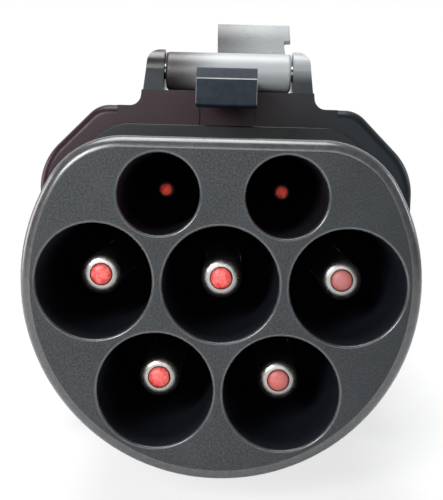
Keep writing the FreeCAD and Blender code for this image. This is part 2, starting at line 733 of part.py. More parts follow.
def make_front_housing():
    """Housing round the nose's root, with the collar, ears, grip grooves and spring cup."""
    body = new_body("front_housing")
    outline = across(body, "housing_outline", HOUSING_FACE)
    add_outline(outline, housing_corners(ZERO))
    pad(body, outline, S.front_housing_length, "housing_pad")
    dress(body, "Fillet", "housing_face_edge", S.housing_edge,
          lambda edge: in_plane(edge, HOUSING_FACE.value))
    add_ears(body)
    collar = across(body, "collar_outline", S.nose_length)
    add_d_outline(collar, S.nose_radius + S.collar_growth, S.nose_flat + S.collar_growth,
                  S.nose_corner + S.collar_growth)
    pad(body, collar, S.collar_step + S.lip_thickness, "collar_pad")
    dress(body, "Fillet", "collar_rounding", S.collar_edge,
          lambda edge: in_plane(edge, S.nose_length.value))
    opening = across(body, "nose_opening_outline", S.nose_length)
    add_d_outline(opening, S.nose_radius + S.fit_gap, S.nose_flat + S.fit_gap,
                  S.nose_corner + S.fit_gap)
    pocket(body, opening, S.collar_step + S.lip_thickness, "nose_opening")
    inside = across(body, "inside_outline", PLUG_SEAT)
    add_outline(inside, housing_corners(S.wall))
    pocket(body, inside, FRONT_HOUSING_END - PLUG_SEAT, "inside")
    add_grip(body)
    add_side_screw_holes(body)
    place_at_end(body, ENDS["plug"])
    return body


def add_ears(body):
    """Pedestal and ears of the hinge, the arm's channel and the cup of the spring."""
    inner = S.barrel_half + S.ear_gap
    outer = inner + S.ear_width
    foot = outer + S.ear_lean
    skirt = foot + S.ear_foot * 2
    top = HINGE_RISE + S.barrel_radius
    low = HOUSING_TOP - S.wall
    surface = HOUSING_TOP
    front = across(body, "ear_front_outline", HOUSING_FACE)
    add_outline(front, [
        (-skirt, low, 0), (skirt, low, 0), (skirt, surface, 0), (foot, surface, S.ear_foot),
        (outer, top, S.ear_round), (inner, top, 0), (inner, PEDESTAL_TOP, 0),
        (-inner, PEDESTAL_TOP, 0), (-inner, top, 0), (-outer, top, S.ear_round),
        (-foot, surface, S.ear_foot), (-skirt, surface, 0),
    ])
    pad(body, front, S.ear_length, "ears")
    trim_ears(body)
    half = S.arm_half_width + S.channel_gap
    channel = across(body, "channel_outline", HOUSING_FACE)
    over = HINGE_RISE + S.barrel_radius
    add_outline(channel, [
        (-half, CHANNEL_FLOOR, 0), (half, CHANNEL_FLOOR, 0), (half, over, 0), (-half, over, 0),
    ])
    pocket(body, channel, S.ear_length, "arm_channel")
    mark = across(body, "channel_mark_outline", HOUSING_FACE)
    add_outline(mark, [
        (-half, S.nose_flat, 0), (half, S.nose_flat, 0),
        (half, CHANNEL_FLOOR, 0), (-half, CHANNEL_FLOOR, 0),
    ])
    pocket(body, mark, S.channel_mark, "channel_mark")
    bore = sketch_on(body, "YZ_Plane", "ear_bore_circle")
    add_circle(bore, S.hinge_depth, HINGE_RISE, S.hinge_pin_radius + S.hinge_hold_gap)
    pocket_both(body, bore, foot * 2, "ear_bores")
    middle = S.hinge_depth + S.spring_back
    rim = sketch_on(body, "XY_Plane", "spring_cup_rim", HOUSING_TOP - S.spring_cup_sink)
    add_circle(rim, S.spring_side, middle, S.spring_cup_radius + S.spring_cup_wall)
    pad(body, rim, S.spring_cup_height + S.spring_cup_sink, "spring_cup", towards_back=False)
    hollow = sketch_on(body, "XY_Plane", "spring_cup_hollow", HOUSING_TOP + S.spring_cup_height)
    add_circle(hollow, S.spring_side, middle, S.spring_cup_radius)
    pocket(body, hollow, S.spring_cup_height + S.spring_cup_sink, "spring_cup_bore")


def trim_ears(body):
    """Cuts the ears to their rounded side view, level with the barrel."""
    depth, rise, round_ = S.hinge_depth, HINGE_RISE, S.barrel_radius
    before = HOUSING_FACE - S.cut_margin
    after = HOUSING_FACE + S.ear_length + S.cut_margin
    above = rise + round_ + S.cut_margin
    side = sketch_on(body, "YZ_Plane", "ear_side_outline")
    corners = [
        (depth + round_, rise), (depth + round_ + S.ear_splay, HOUSING_TOP),
        (after, HOUSING_TOP), (after, above), (before, above),
        (before, PEDESTAL_TOP), (depth - round_ - S.ear_splay, PEDESTAL_TOP),
        (depth - round_, rise),
    ]
    circle = Part.Circle(Vector(depth.value, rise.value, 0), Vector(0, 0, 1), round_.value)
    arc = side.addGeometry(Part.ArcOfCircle(circle, 0, math.pi), False)
    spots = [Vector(y.value, z.value, 0) for y, z in corners]
    lines = []
    for first, second in zip(spots, spots[1:]):
        lines.append(side.addGeometry(Part.LineSegment(first, second), False))
    for number, line in enumerate(lines[1:]):
        side.addConstraint(Sketcher.Constraint("Coincident", lines[number], 2, line, 1))
    side.addConstraint(Sketcher.Constraint("Coincident", arc, 1, lines[0], 1))
    side.addConstraint(Sketcher.Constraint("Coincident", lines[-1], 2, arc, 2))
    pin_point(side, arc, 3, depth, rise)
    pin_down(side, "Radius", (arc,), round_)
    side.addConstraint(Sketcher.Constraint("Horizontal", arc, 3, arc, 1))
    side.addConstraint(Sketcher.Constraint("Horizontal", arc, 3, arc, 2))
    for number, line in enumerate(lines[:-1]):
        y, z = corners[number + 1]
        pin_point(side, line, 2, y, z)
    width = S.barrel_half + S.ear_gap + S.ear_width + S.ear_lean + S.ear_foot * 2
    pocket_both(body, side, width * 2, "ear_side_trim")


def add_grip(body):
    """A row of grip grooves down each side."""
    for side in (-1, 1):
        name = "grip_left" if side < 0 else "grip_right"
        edge = HOUSING_SIDE * side
        cut = sketch_on(body, "XY_Plane", name + "_outline", S.grip_low)
        first = HOUSING_FACE + S.grip_first
        deep = (HOUSING_SIDE - S.grip_depth) * side
        past = edge + S.cut_margin * side
        add_outline(cut, [
            (deep, first, 0), (past, first, 0), (past, first + S.grip_width, 0),
            (deep, first + S.grip_width, 0),
        ])
        pocket(body, cut, S.grip_high - S.grip_low, name, towards_back=False)
        pattern = body.newObject("PartDesign::LinearPattern", name + "_row")
        pattern.Originals = [body.Tip]
        pattern.Direction = (next(item for item in body.Origin.OriginFeatures
                                  if item.Role == "Y_Axis"), [""])
        pattern.setExpression("Length", (S.grip_pitch * (S.grip_count - 1)).text)
        pattern.setExpression("Occurrences", S.grip_count.text)
        finish_feature(body, pattern)


def side_screw_depth():
    """Depth of the side screws behind the nose face."""
    return FRONT_HOUSING_END - S.side_screw_back


def add_side_screw_holes(body):
    """Counterbored holes for the side screws."""
    for side in (-1, 1):
        name = "screws_left" if side < 0 else "screws_right"
        for what, radius, length in (
                ("clearance", S.screw_radius + S.screw_fit_gap, S.wall),
                ("head", S.screw_head_radius + S.fit_gap, S.screw_head_height)):
            circles = sketch_on(body, "YZ_Plane", "%s_%s" % (name, what),
                                HOUSING_SIDE * side)
            for z in (-S.side_screw_high, S.side_screw_high):
                add_circle(circles, side_screw_depth(), z, radius)
            pocket(body, circles, length, "%s_%s_holes" % (name, what), towards_back=side > 0)


def make_rear_housing():
    """Housing behind the joint: tongue, body, and the D shell round the inlet block."""
    body = new_body("rear_housing")
    inlet_seat = S.inlet_recess + INLET_SEAT
    shell = across(body, "shell_outline")
    add_d_outline(shell, SHELL_BORE + S.shell_wall, SHELL_BORE_FLAT + S.shell_wall, S.shell_corner)
    pad(body, shell, SHELL_LENGTH, "shell_pad")
    dress(body, "Chamfer", "shell_bevel_edge", S.shell_bevel,
          lambda edge: in_plane(edge, SHELL_LENGTH.value))
    dress(body, "Fillet", "shell_rim_edge", S.shell_rim, lambda edge: in_plane(edge, 0))
    base = across(body, "shell_base_outline")
    wide = SHELL_BORE + S.shell_wall
    add_outline(base, [
        (-wide, -(AXIS_HEIGHT + S.shell_wall), 0), (wide, -(AXIS_HEIGHT + S.shell_wall), 0),
        (wide, -AXIS_HEIGHT, 0), (-wide, -AXIS_HEIGHT, 0),
    ])
    pocket(body, base, SHELL_LENGTH, "shell_base")
    neck = across(body, "neck_outline", S.shell_bevel)
    add_outline(neck, housing_corners(ZERO))
    pad(body, neck, REAR_HOUSING_LENGTH - S.shell_bevel, "neck_pad")
    groove = across(body, "groove_outline")
    add_d_outline(groove, SHELL_BORE, SHELL_BORE_FLAT, S.nose_corner + S.groove_width)
    pocket(body, groove, GROOVE_DEPTH, "groove")
    opening = across(body, "block_opening_outline", GROOVE_DEPTH)
    add_d_outline(opening, S.nose_radius + S.fit_gap, S.nose_flat + S.fit_gap,
                  S.nose_corner + S.fit_gap)
    pocket(body, opening, S.lip_thickness, "block_opening")
    inside = across(body, "rear_inside_outline", inlet_seat)
    add_outline(inside, housing_corners(S.wall))
    pocket(body, inside, REAR_HOUSING_LENGTH - inlet_seat, "rear_inside")
    add_spigot(body)
    place(body, ZERO, REAR_RIM, AXIS_HEIGHT, turned=True)
    return body


def add_spigot(body):
    """Tongue that goes into the front housing, with its screw bosses."""
    inset = S.wall + S.fit_gap
    root_depth = REAR_HOUSING_LENGTH - S.spigot_wall
    length = S.spigot_length + S.seal_gap + S.spigot_wall
    spigot = across(body, "spigot_outline", root_depth)
    add_outline(spigot, housing_corners(inset))
    add_outline(spigot, housing_corners(inset + S.spigot_wall))
    pad(body, spigot, length, "spigot")
    filler = across(body, "spigot_root_outline", root_depth)
    add_outline(filler, housing_corners(S.wall - S.fit_gap))
    add_outline(filler, housing_corners(inset + S.spigot_wall))
    pad(body, filler, S.spigot_wall, "spigot_root")
    depth = S.overall_length - side_screw_depth()
    face = HOUSING_SIDE - inset
    for side in (-1, 1):
        name = "left" if side < 0 else "right"
        start = (face - S.spigot_wall / 2) * side
        bosses = sketch_on(body, "YZ_Plane", "boss_circles_" + name, start)
        holes = sketch_on(body, "YZ_Plane", "boss_holes_" + name,
                          (face + S.cut_margin) * side)
        for z in (-S.side_screw_high, S.side_screw_high):
            add_circle(bosses, depth, z, S.side_screw_boss)
            add_circle(holes, depth, z, S.screw_radius + S.screw_fit_gap)
        pad(body, bosses, S.side_screw_boss_length - S.spigot_wall / 2, "bosses_" + name,
            towards_back=side > 0)
        pocket(body, holes, S.side_screw_boss_length + S.cut_margin * 2, "screw_holes_" + name,
               towards_back=side > 0)


def make_seal():
    """Rubber ring between the two housings."""
    body = new_body("housing_seal")
    ring = across(body, "seal_outline", FRONT_HOUSING_END)
    add_outline(ring, housing_corners(S.seal_inset))
    add_outline(ring, housing_corners(S.wall))
    pad(body, ring, S.seal_gap, "seal_pad")
    place_at_end(body, ENDS["plug"])
    return body


def make_spacer():
    """Tube between the two pin plates that keeps both on their gaskets."""
    body = new_body("spacer_tube")
    start = plate_back(ENDS["plug"])
    stop = S.overall_length - S.inlet_recess - plate_back(ENDS["inlet"])
    ring = across(body, "spacer_outline", start)
    add_d_outline(ring, S.spacer_radius, S.spacer_flat, S.nose_corner)
    add_d_outline(ring, S.spacer_radius - S.spacer_wall, S.spacer_flat - S.spacer_wall,
                  S.nose_corner - S.spacer_wall)
    pad(body, ring, stop - start, "spacer_pad")
    place_at_end(body, ENDS["plug"])
    return body


# Latch

def place_at_hinge(item):
    """Puts an item on the hinge's axis."""
    place(item, ZERO, FRONT_FACE + S.hinge_depth, AXIS_HEIGHT + HINGE_RISE)


def make_lever():
    """Latch lever: barrel, arm with its hook, curved thumb tab and the spring's post."""
    body = new_body("latch_lever")
    barrel = sketch_on(body, "YZ_Plane", "barrel_circle")
    add_circle(barrel, 0, 0, S.barrel_radius)
    pad_both(body, barrel, S.barrel_half * 2, "barrel")
    add_tab(body)
    add_arm(body)
    bore = sketch_on(body, "YZ_Plane", "barrel_bore_circle")
    add_circle(bore, 0, 0, S.hinge_pin_radius + S.hinge_running_gap)
    pocket_both(body, bore, S.barrel_half * 2, "barrel_bore")
    place_at_hinge(body)
    return body


def add_arm(body):
    """Arm that runs forwards from the barrel, with the hook at its end."""
    top = -S.arm_top_drop
    under = top - S.arm_thickness
    front = -S.hook_reach
    back = front + S.hook_length
    inside = S.barrel_radius / 2
    arm = sketch_on(body, "YZ_Plane", "arm_outline")
    add_outline(arm, [
        (front, -S.hook_drop, S.hook_edge),
        (back, -S.hook_drop, S.hook_edge),
        (back + S.hook_edge, under, S.arm_corner),
        (-S.arm_heel, under + S.arm_heel_rise, S.arm_heel_round),
        (-inside, -inside, 0),
        (-inside, top, 0),
        (front + S.hook_bevel_run, top, 0),
        (front, top - S.hook_bevel, 0),
    ])
    pad_both(body, arm, S.arm_half_width * 2, "arm")


def add_tab(body):
    """Thumb tab: a curved plate behind the barrel, trimmed to its outline from above."""
    back, rise = S.tab_centre_back, S.tab_centre_rise
    inner, outer = S.tab_curve, S.tab_curve + S.tab_thickness
    side = sketch_on(body, "YZ_Plane", "tab_side_outline")
    angle = math.radians(S.tab_end_slope.value)
    centre = Vector(back.value, rise.value, 0)

    def on_curve(radius, slope):
        return centre + Vector(math.sin(slope), -math.cos(slope), 0) * radius.value

    arcs = []
    for radius in (inner, outer):
        arc, root_end, far_end = add_short_arc(
            side, centre, radius.value, on_curve(radius, 0), on_curve(radius, angle))
        arcs.append(arc)
    root_line = side.addGeometry(Part.LineSegment(on_curve(inner, 0), on_curve(outer, 0)), False)
    end_line = side.addGeometry(
        Part.LineSegment(on_curve(inner, angle), on_curve(outer, angle)), False)
    for line, point in ((root_line, root_end), (end_line, far_end)):
        side.addConstraint(Sketcher.Constraint("Coincident", line, 1, arcs[0], point))
        side.addConstraint(Sketcher.Constraint("Coincident", line, 2, arcs[1], point))
    pin_point(side, arcs[0], 3, back, rise)
    side.addConstraint(Sketcher.Constraint("Coincident", arcs[0], 3, arcs[1], 3))
    pin_down(side, "Radius", (arcs[0],), inner)
    pin_down(side, "Radius", (arcs[1],), outer)
    side.addConstraint(Sketcher.Constraint("Vertical", root_line))
    side.addConstraint(Sketcher.Constraint("PointOnObject", arcs[0], 3, end_line))
    end_angle = side.addConstraint(Sketcher.Constraint("Angle", end_line, angle - math.pi / 2))
    side.setExpression("Constraints[%d]" % end_angle, "Sizes.tab_end_slope * 1 deg - 90 deg")
    pad_both(body, side, S.tab_right * 2, "tab_plate")
    trim_tab(body)
    post = sketch_on(body, "XY_Plane", "spring_post_circle", S.spring_post_low)
    add_circle(post, S.spring_side, S.spring_back, S.spring_post_radius)
    length = S.tab_centre_rise - S.tab_curve
    pad(body, post, length, "spring_post", towards_back=False)


def trim_tab(body):
    """Outline of the tab from above: a flared left root and a notch on the right."""
    far = S.tab_centre_back + S.tab_curve + S.tab_thickness
    edge = S.tab_right + S.cut_margin
    above = S.tab_centre_rise
    near = S.tab_centre_back - S.cut_margin
    left = sketch_on(body, "XY_Plane", "tab_left_outline")
    add_outline(left, [
        (-edge, near, 0), (-S.barrel_half, near, 0), (-S.barrel_half, S.neck_root, 0),
        (S.tab_left, S.neck_root, S.neck_flare), (S.tab_left, far, 0), (-edge, far, 0),
    ])
    pocket(body, left, above, "tab_left_trim", towards_back=False)
    right = sketch_on(body, "XY_Plane", "tab_notch_outline")
    add_outline(right, [
        (S.neck_right, S.neck_root, 0), (S.barrel_half, S.neck_root, 0),
        (S.barrel_half, near, 0), (edge, near, 0),
        (edge, S.notch_start, 0), (S.neck_right, S.notch_start, S.notch_round),
    ])
    pocket(body, right, above, "tab_notch", towards_back=False)


def make_hinge_pin():
    """Steel pin through both ears and the barrel."""
    body = new_body("hinge_pin")
    circle = sketch_on(body, "YZ_Plane", "hinge_pin_circle")
    add_circle(circle, 0, 0, S.hinge_pin_radius)
    half = S.barrel_half + S.ear_gap + S.ear_width
    pad_both(body, circle, half * 2, "hinge_pin_rod")
    dress(body, "Chamfer", "hinge_pin_ends", S.hinge_pin_bevel,
          lambda edge: abs(abs(edge.BoundBox.XMin) - half.value) < 1e-4
          and abs(abs(edge.BoundBox.XMax) - half.value) < 1e-4)
    place_at_hinge(body)
    return body


def make_spring():
    """Compression spring between its cup and the post under the tab."""
    body = new_body("latch_spring")
    low = HOUSING_TOP - S.spring_cup_sink - HINGE_RISE
    high = S.spring_post_low
    profile = sketch_on(body, "XZ_Plane", "spring_wire_circle")
    add_circle(profile, S.spring_radius, low + S.spring_wire, S.spring_wire)
    coil = body.newObject("PartDesign::AdditiveHelix", "spring_coil")
    coil.Profile = profile
    coil.ReferenceAxis = (profile, ["V_Axis"])
    coil.Mode = "height-turns-angle"
    coil.setExpression("Height", (high - low - S.spring_wire * 2).text)
    coil.setExpression("Turns", S.spring_turns.text)
    finish_feature(body, coil)
    place(body, S.spring_side, FRONT_FACE + S.hinge_depth + S.spring_back,
          AXIS_HEIGHT + HINGE_RISE)
    return body


# Screws

def make_screws(name, spots, direction, length):
    """A set of like screws: a head with a hexagon socket and a plain shank."""
    screws = []
    for number, (x, y, z, flip) in enumerate(spots):
        tag = "%s_%d" % (name, number + 1)
        head = doc.addObject("Part::Cylinder", tag + "_head")
        head.setExpression("Radius", S.screw_head_radius.text)
        head.setExpression("Height", S.screw_head_height.text)
        shank = doc.addObject("Part::Cylinder", tag + "_shank")
        shank.setExpression("Radius", S.screw_radius.text)
        shank.setExpression("Height", (length + S.screw_head_height / 2).text)
        shank.setExpression("Placement.Base.z", (-length).text)
        socket = doc.addObject("Part::Prism", tag + "_socket")
        socket.Polygon = 6
        socket.setExpression("Circumradius", S.screw_socket_radius.text)
        socket.setExpression("Height", S.screw_socket_depth.text)
        socket.setExpression(
            "Placement.Base.z", (S.screw_head_height - S.screw_socket_depth).text)
        solid = doc.addObject("Part::Fuse", tag + "_solid")
        solid.Base = head
        solid.Tool = shank
        screw = doc.addObject("Part::Cut", tag)
        screw.Base = solid
        screw.Tool = socket
        aim = direction * (-1 if flip else 1)
        screw.Placement = FreeCAD.Placement(Vector(0, 0, 0), Rotation(Vector(0, 0, 1), aim))
        for axis, amount in (("x", x), ("y", y), ("z", z)):
            screw.setExpression("Placement.Base." + axis, as_size(amount).text)
        screws.append(screw)
    group = doc.addObject("Part::Compound", name)
    group.Label = name
    group.Links = screws
    return group


def make_all_screws():
    """Screws at the housing joint and in both pin plates."""
    groups = []
    side_x = HOUSING_SIDE - S.screw_head_height
    spots = []
    for z in (-S.side_screw_high, S.side_screw_high):
        for flip in (False, True):
            x = -side_x if flip else side_x
            spots.append((x, FRONT_FACE + side_screw_depth(), AXIS_HEIGHT + z, flip))
    groups.append(make_screws("housing_screws", spots, Vector(1, 0, 0), S.side_screw_length))
    for end_name, end in ENDS.items():
        away = 1 if end["turned"] else -1
        y = end["face"] - plate_back(end) * away
        spots = []
        for x in (-S.plate_screw_x, S.plate_screw_x):
            for z in (-S.plate_screw_z, S.plate_screw_z):
                spots.append((x, y, AXIS_HEIGHT + z, False))
        groups.append(make_screws(end_name + "_plate_screws", spots, Vector(0, -away, 0),
                                  S.plate_screw_length))
    return groups


def make_everything():
    """Every node of the adapter."""
    nodes = [make_front_housing(), make_rear_housing(), make_seal(), make_spacer()]
    for end_name, end in ENDS.items():
        nodes.append(make_block(end_name + "_block", end))
        nodes.append(make_gasket(end_name + "_gasket", end))
        nodes.append(make_plate(end_name + "_pin_plate", end))
    for kind, spots in (("power", POWER_SPOTS), ("signal", SIGNAL_SPOTS)):
        for spot, (x, z) in spots.items():
            for end_name, end in ENDS.items():
                nodes.append(make_pin("%s_pin_%s" % (end_name, spot), end, kind, spot, x, z))
                nodes.append(make_cap("%s_cap_%s" % (end_name, spot), end, kind, spot, x, z))
            nodes.append(make_wire("wire_" + spot, kind, spot, x, z))
    nodes += [make_board(), make_resistor(), make_lever(), make_hinge_pin(), make_spring()]
    nodes += make_all_screws()
    return nodes


def check_and_write(nodes):
    """Stops on a failed object or a bad shape, then writes one STEP file for each node."""
    doc.recompute()
    for item in doc.Objects:
        if any(state in ("Invalid", "Error") for state in item.State):
            raise RuntimeError("%s failed: %s" % (item.Name, item.State))
    for node in nodes:
        if node.Shape.isNull() or not node.Shape.isValid():
            raise RuntimeError("%s has a bad shape" % node.Label)
    os.makedirs("parts", exist_ok=True)
    for node in nodes:
        node.Shape.exportStep("parts/%s.step" % node.Label)
    print("%d nodes written" % len(nodes))


check_and_write(make_everything())
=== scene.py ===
import math

import bmesh
import bpy
from mathutils import Matrix, Vector


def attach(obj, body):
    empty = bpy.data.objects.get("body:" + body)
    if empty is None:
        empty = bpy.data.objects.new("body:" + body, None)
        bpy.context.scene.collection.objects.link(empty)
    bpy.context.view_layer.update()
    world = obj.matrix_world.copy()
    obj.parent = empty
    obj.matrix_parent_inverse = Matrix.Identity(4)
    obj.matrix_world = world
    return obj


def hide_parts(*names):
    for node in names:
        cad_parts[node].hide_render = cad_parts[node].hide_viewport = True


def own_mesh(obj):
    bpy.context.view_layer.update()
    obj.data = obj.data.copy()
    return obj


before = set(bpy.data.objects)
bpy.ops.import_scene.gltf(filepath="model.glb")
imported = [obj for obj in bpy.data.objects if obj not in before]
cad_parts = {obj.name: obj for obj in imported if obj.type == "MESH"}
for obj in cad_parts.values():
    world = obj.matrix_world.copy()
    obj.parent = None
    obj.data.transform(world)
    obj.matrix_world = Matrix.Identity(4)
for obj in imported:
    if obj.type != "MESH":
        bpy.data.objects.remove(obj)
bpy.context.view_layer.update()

# A seven-pin charging adapter, seen from its nose. Every piece is modelled in millimetres in
# the CAD's frame: +Z up, the nose points to -Y, and the earth pin's axis is AXIS above the floor.

MM = 0.001
HOLDER, LEVER = "adapter_body", "lever"
# Faces that meet at less than this many degrees are shaded as one surface.
SMOOTH_TO = 32.0

# Contact blocks. A D is its radius, its flat above the axis and its corner.
AXIS = 33.6
NOSE_FACE, INLET_FACE, INLET_RIM = -70.0, 68.0, 70.0
NOSE_D, INLET_D = (28.3, 20.4, 12.0), (27.75, 20.5, 10.0)
NOSE_EDGE = 1.6
CUP_DEPTH, CUP_RIM = 32.0, 0.35
PLUG_BLOCK, INLET_BLOCK = 44.0, 41.0
FIT_GAP = 0.15
ROOT_STEP, ROOT_GAP, ROOT_SINK = 0.3, 0.05, 1.0

# Housings, with the collar round the nose's root and the D shell round the inlet.
COLLAR_FACE, HOUSING_FACE, LIP_BACK, JOINT = -33.5, -31.0, -27.0, 4.0
COLLAR_GROWTH, COLLAR_CORNER, COLLAR_EDGE = 2.7, 9.0, 0.3
HOUSING_EDGE, WALL, JOINT_BEVEL, BACK_BEVEL = 1.6, 2.4, 0.3, 0.6
SIDE, TOP, SHOULDER, SIDE_TOP = 33.5, 26.4, 23.1, 16.0
TOP_HEIGHT = AXIS + TOP
BELLY_CORNER, SIDE_CORNER, SHOULDER_CORNER = 25.0, 11.0, 5.0
REAR_START, SHELL_START, GROOVE_FLOOR = 5.2, 28.0, 32.0
GROOVE, SHELL_WALL, SHELL_CORNER, SHELL_BEVEL, SHELL_RIM = 4.2, 2.8, 15.0, 2.2, 0.8
TONGUE, TONGUE_WALL, BOSS, BOSS_LENGTH = 10.0, 2.0, 2.9, 4.6

# Hinge, with its ears and the arm's channel between them.
HINGE_Y, HINGE_Z = -24.0, 66.7
BARREL, BARREL_HALF, BARREL_EDGE = 3.5, 11.4, 0.6
HINGE_ROD, ROD_BEVEL, HOLD_GAP, RUN_GAP = 1.5, 0.3, 0.02, 0.05
EAR_INNER, EAR_OUTER, EAR_FOOT, EAR_FILLET, EAR_ROUND = 11.7, 14.6, 15.6, 2.0, 2.6
EAR_TOP, EAR_ROOT, EAR_SPLAY, EAR_BACK, EAR_EDGE = 70.6, 1.6, 1.2, -18.0, 0.35
PEDESTAL_TOP, SINK = 62.8, 0.02
CHANNEL_HALF, CHANNEL_FLOOR, CHANNEL_MARK, MARK_GAP = 5.0, 60.8, 0.5, 0.05

# Pins and their plates.
PLATE, PLATE_SCREW_X, PLATE_SCREW_Z = 4.0, 17.0, 11.5
PLATE_HOLE, PLATE_HOLE_DEPTH = 1.3, 8.25
COLLAR_STEP, COLLAR_LENGTH, BOARD = 1.1, 2.0, 1.6
CRIMP, CRIMP_WALL, CRIMP_BORE, CRIMP_BEVEL = 9.0, 1.0, 7.0, 0.3
CAP_STEM, CAP_DOME, CAP_SEAT = 4.0, 0.5, 0.15

# Spring, with its cup on the housing and its post under the tab. A closed turn climbs a little
# more than the wire is thick.
SPRING_X, SPRING_Y, SPRING_COIL, SPRING_WIRE, SPRING_TOP = 4.9, -13.0, 2.5, 0.4, 68.3
CLOSED_TURN, SPRING_KEEP = 2.05, 0.68
CUP_FLOOR, CUP_TOP, CUP_INNER, CUP_WALL = 59.0, 61.2, 3.4, 1.1
POST, POST_LENGTH = 3.3, 8.0

# Grip grooves and side screws.
GRIP_START, GRIP_PITCH, GRIP_COUNT, GRIP_WIDTH, GRIP_DEPTH = -23.0, 4.0, 5, 1.6, 0.9
GRIP_LOW, GRIP_HIGH, GRIP_FLARE = 24.6, 44.6, 0.3
SIDE_SCREW_Y, SIDE_SCREW_HIGH, SIDE_SCREW = -1.0, 8.0, 6.4
SCREW, HEAD, SCREW_HEAD, SOCKET, SOCKET_DEPTH = 1.25, 2.3, 1.5, 1.15, 0.9
HEAD_BORE, BORE_BEVEL, HEAD_EDGE, SHANK_BEVEL = 2.45, 0.3, 0.35, 0.3

# Lever: hook, arm and thumb tab.
HOOK_REACH, HOOK_LENGTH, HOOK_DROP, HOOK_DRAFT, HOOK_EDGE = 30.0, 5.4, 7.7, 0.4, 0.4
HOOK_BEVEL, HOOK_BEVEL_RUN, BEVEL_FOOT, BEVEL_TOP, HOOK_HIGHLIGHT_DEPTH = 1.75, 1.2, 0.3, 0.5, 0.35
ARM_HALF, ARM_DROP, ARM_THICKNESS, ARM_CORNER, ARM_EDGE = 4.7, 1.7, 3.4, 0.6, 0.3
ARM_HEEL, HEEL_RISE, HEEL_ROUND = 4.9, 0.5, 1.2
TAB_Y, TAB_Z, TAB_CURVE, TAB_THICKNESS, TAB_SLOPE = -25.28, 96.15, 26.2, 2.4, 45.3
TAB_LEFT, TAB_RIGHT, TAB_END, TAB_CORNER, TAB_EDGE = -2.1, 11.9, -4.95, 0.9, 0.45
TAB_SPREAD, TAB_LIP = 0.5, 0.6
NECK_ROOT, NECK_FLARE, NECK_RIGHT = 3.6, 2.2, 10.6
NOTCH_START, NOTCH_EDGE, NOTCH_ROUND = 13.0, 0.3, 0.6

# Contacts: their places from the axis, then the sizes of a power and a signal contact.
POWER_SPOTS = {
    "earth": (0.0, 0.0), "neutral": (-17.8, 0.0), "line1": (17.8, 0.0),
    "line2": (-8.9, -15.3), "line3": (8.9, -15.3),
}
SIGNAL_SPOTS = {"sense": (-8.94, 12.43), "pilot": (8.94, 12.43)}
POWER = {"cup": 8.2, "pin": 3.0, "cap": 1.55, "tip_round": 1.3, "crimp": 4.0, "tip": 8.0}
SIGNAL = {"cup": 5.75, "pin": 1.5, "cap": 0.95, "tip_round": 0.5, "crimp": 2.2, "tip": 16.0}
EARTH_TIP, TIP_FLATNESS = 7.0, 0.7


# Mesh helpers

def d_arcs(growth=0.0, size=NOSE_D):
    """The D of an end, grown by a size: arcs of (x, z, radius, start, sweep, steps)."""
    return d_shape(*(part + growth for part in size))


def collar_arcs(growth=0.0):
    """Outline of the collar, which has a tighter corner than the nose."""
    radius, flat, _ = NOSE_D
    return d_shape(radius + COLLAR_GROWTH + growth, flat + COLLAR_GROWTH + growth,
                   COLLAR_CORNER + growth)


def d_shape(radius, flat, corner):
    """A D from its round, its flat above the axis and its corner; angles run clockwise from up."""
    high = flat - corner
    side = math.sqrt((radius - corner) ** 2 - high ** 2)
    lean = math.atan2(side, high)
    return [
        (side, AXIS + high, corner, 0.0, lean, 12),
        (0.0, AXIS, radius, lean, 2 * (math.pi - lean), 84),
        (-side, AXIS + high, corner, -lean, lean, 12),
    ]


def rounded_arcs(corners):
    """Arcs for (x, z, rounding, steps) corners that run clockwise; hollow corners curve inwards."""
    arcs = []
    for index, (x, z, rounding, steps) in enumerate(corners):
        before, here, after = (
            Vector(corners[place % len(corners)][:2]) for place in (index - 1, index, index + 1))
        runs = ((here - before).normalized(), (after - here).normalized())
        first, second = (Vector((-run.y, run.x)) for run in runs)
        start = math.atan2(first.x, first.y)
        sweep = math.atan2(second.x, second.y) - start
        sweep = (sweep + math.pi) % (2 * math.pi) - math.pi
        reach = rounding * (first + second) / (1 + first.dot(second))
        if sweep < 0:
            arcs.append((x + reach.x, z + reach.y, rounding, start + math.pi, sweep, steps))
        else:
            arcs.append((x - reach.x, z - reach.y, rounding, start, sweep, steps))
    return arcs


def housing_arcs(inset=0.0):
    """The housing's outline, moved inwards by a size."""
    run, drop = SIDE - SHOULDER, TOP - SIDE_TOP
    slant = math.hypot(run, drop)
    side, top, base = SIDE - inset, AXIS + TOP - inset, inset
    side_up = AXIS + SIDE_TOP - inset * (slant - drop) / run
    top_out = SHOULDER - inset * (slant - run) / drop
    return rounded_arcs([
        (top_out, top, SHOULDER_CORNER - inset / 2, 10), (side, side_up, SIDE_CORNER - inset, 12),
        (side, base, BELLY_CORNER - inset, 24), (-side, base, BELLY_CORNER - inset, 24),
        (-side, side_up, SIDE_CORNER - inset, 12), (-top_out, top, SHOULDER_CORNER - inset / 2, 10),
    ])


def trace(bm, y, arcs):
    """A closed loop of edges through the arcs, in the plane at y; gives its edges."""
    known = set(bm.edges)
    ends = []
    for x, z, radius, start, sweep, steps in arcs:
        spot = Vector((x + radius * math.sin(start), y, z + radius * math.cos(start)))
        first = last = bm.verts.new(spot)
        if radius > 0:
            turned = bmesh.ops.spin(
                bm, geom=[first], cent=(x, y, z), axis=(0, 1, 0), dvec=(0, 0, 0),
                angle=sweep, steps=steps, space=Matrix.Identity(4))
            last = next(
                item for item in turned["geom_last"] if isinstance(item, bmesh.types.BMVert))
        ends.append((first, last))
    for index, (first, last) in enumerate(ends):
        bm.edges.new((last, ends[(index + 1) % len(ends)][0]))
    return [edge for edge in bm.edges if edge not in known]


def bridge(bm, loops):
    """A skin between each loop and the next."""
    for first, second in zip(loops, loops[1:]):
        bmesh.ops.bridge_loops(bm, edges=first + second)


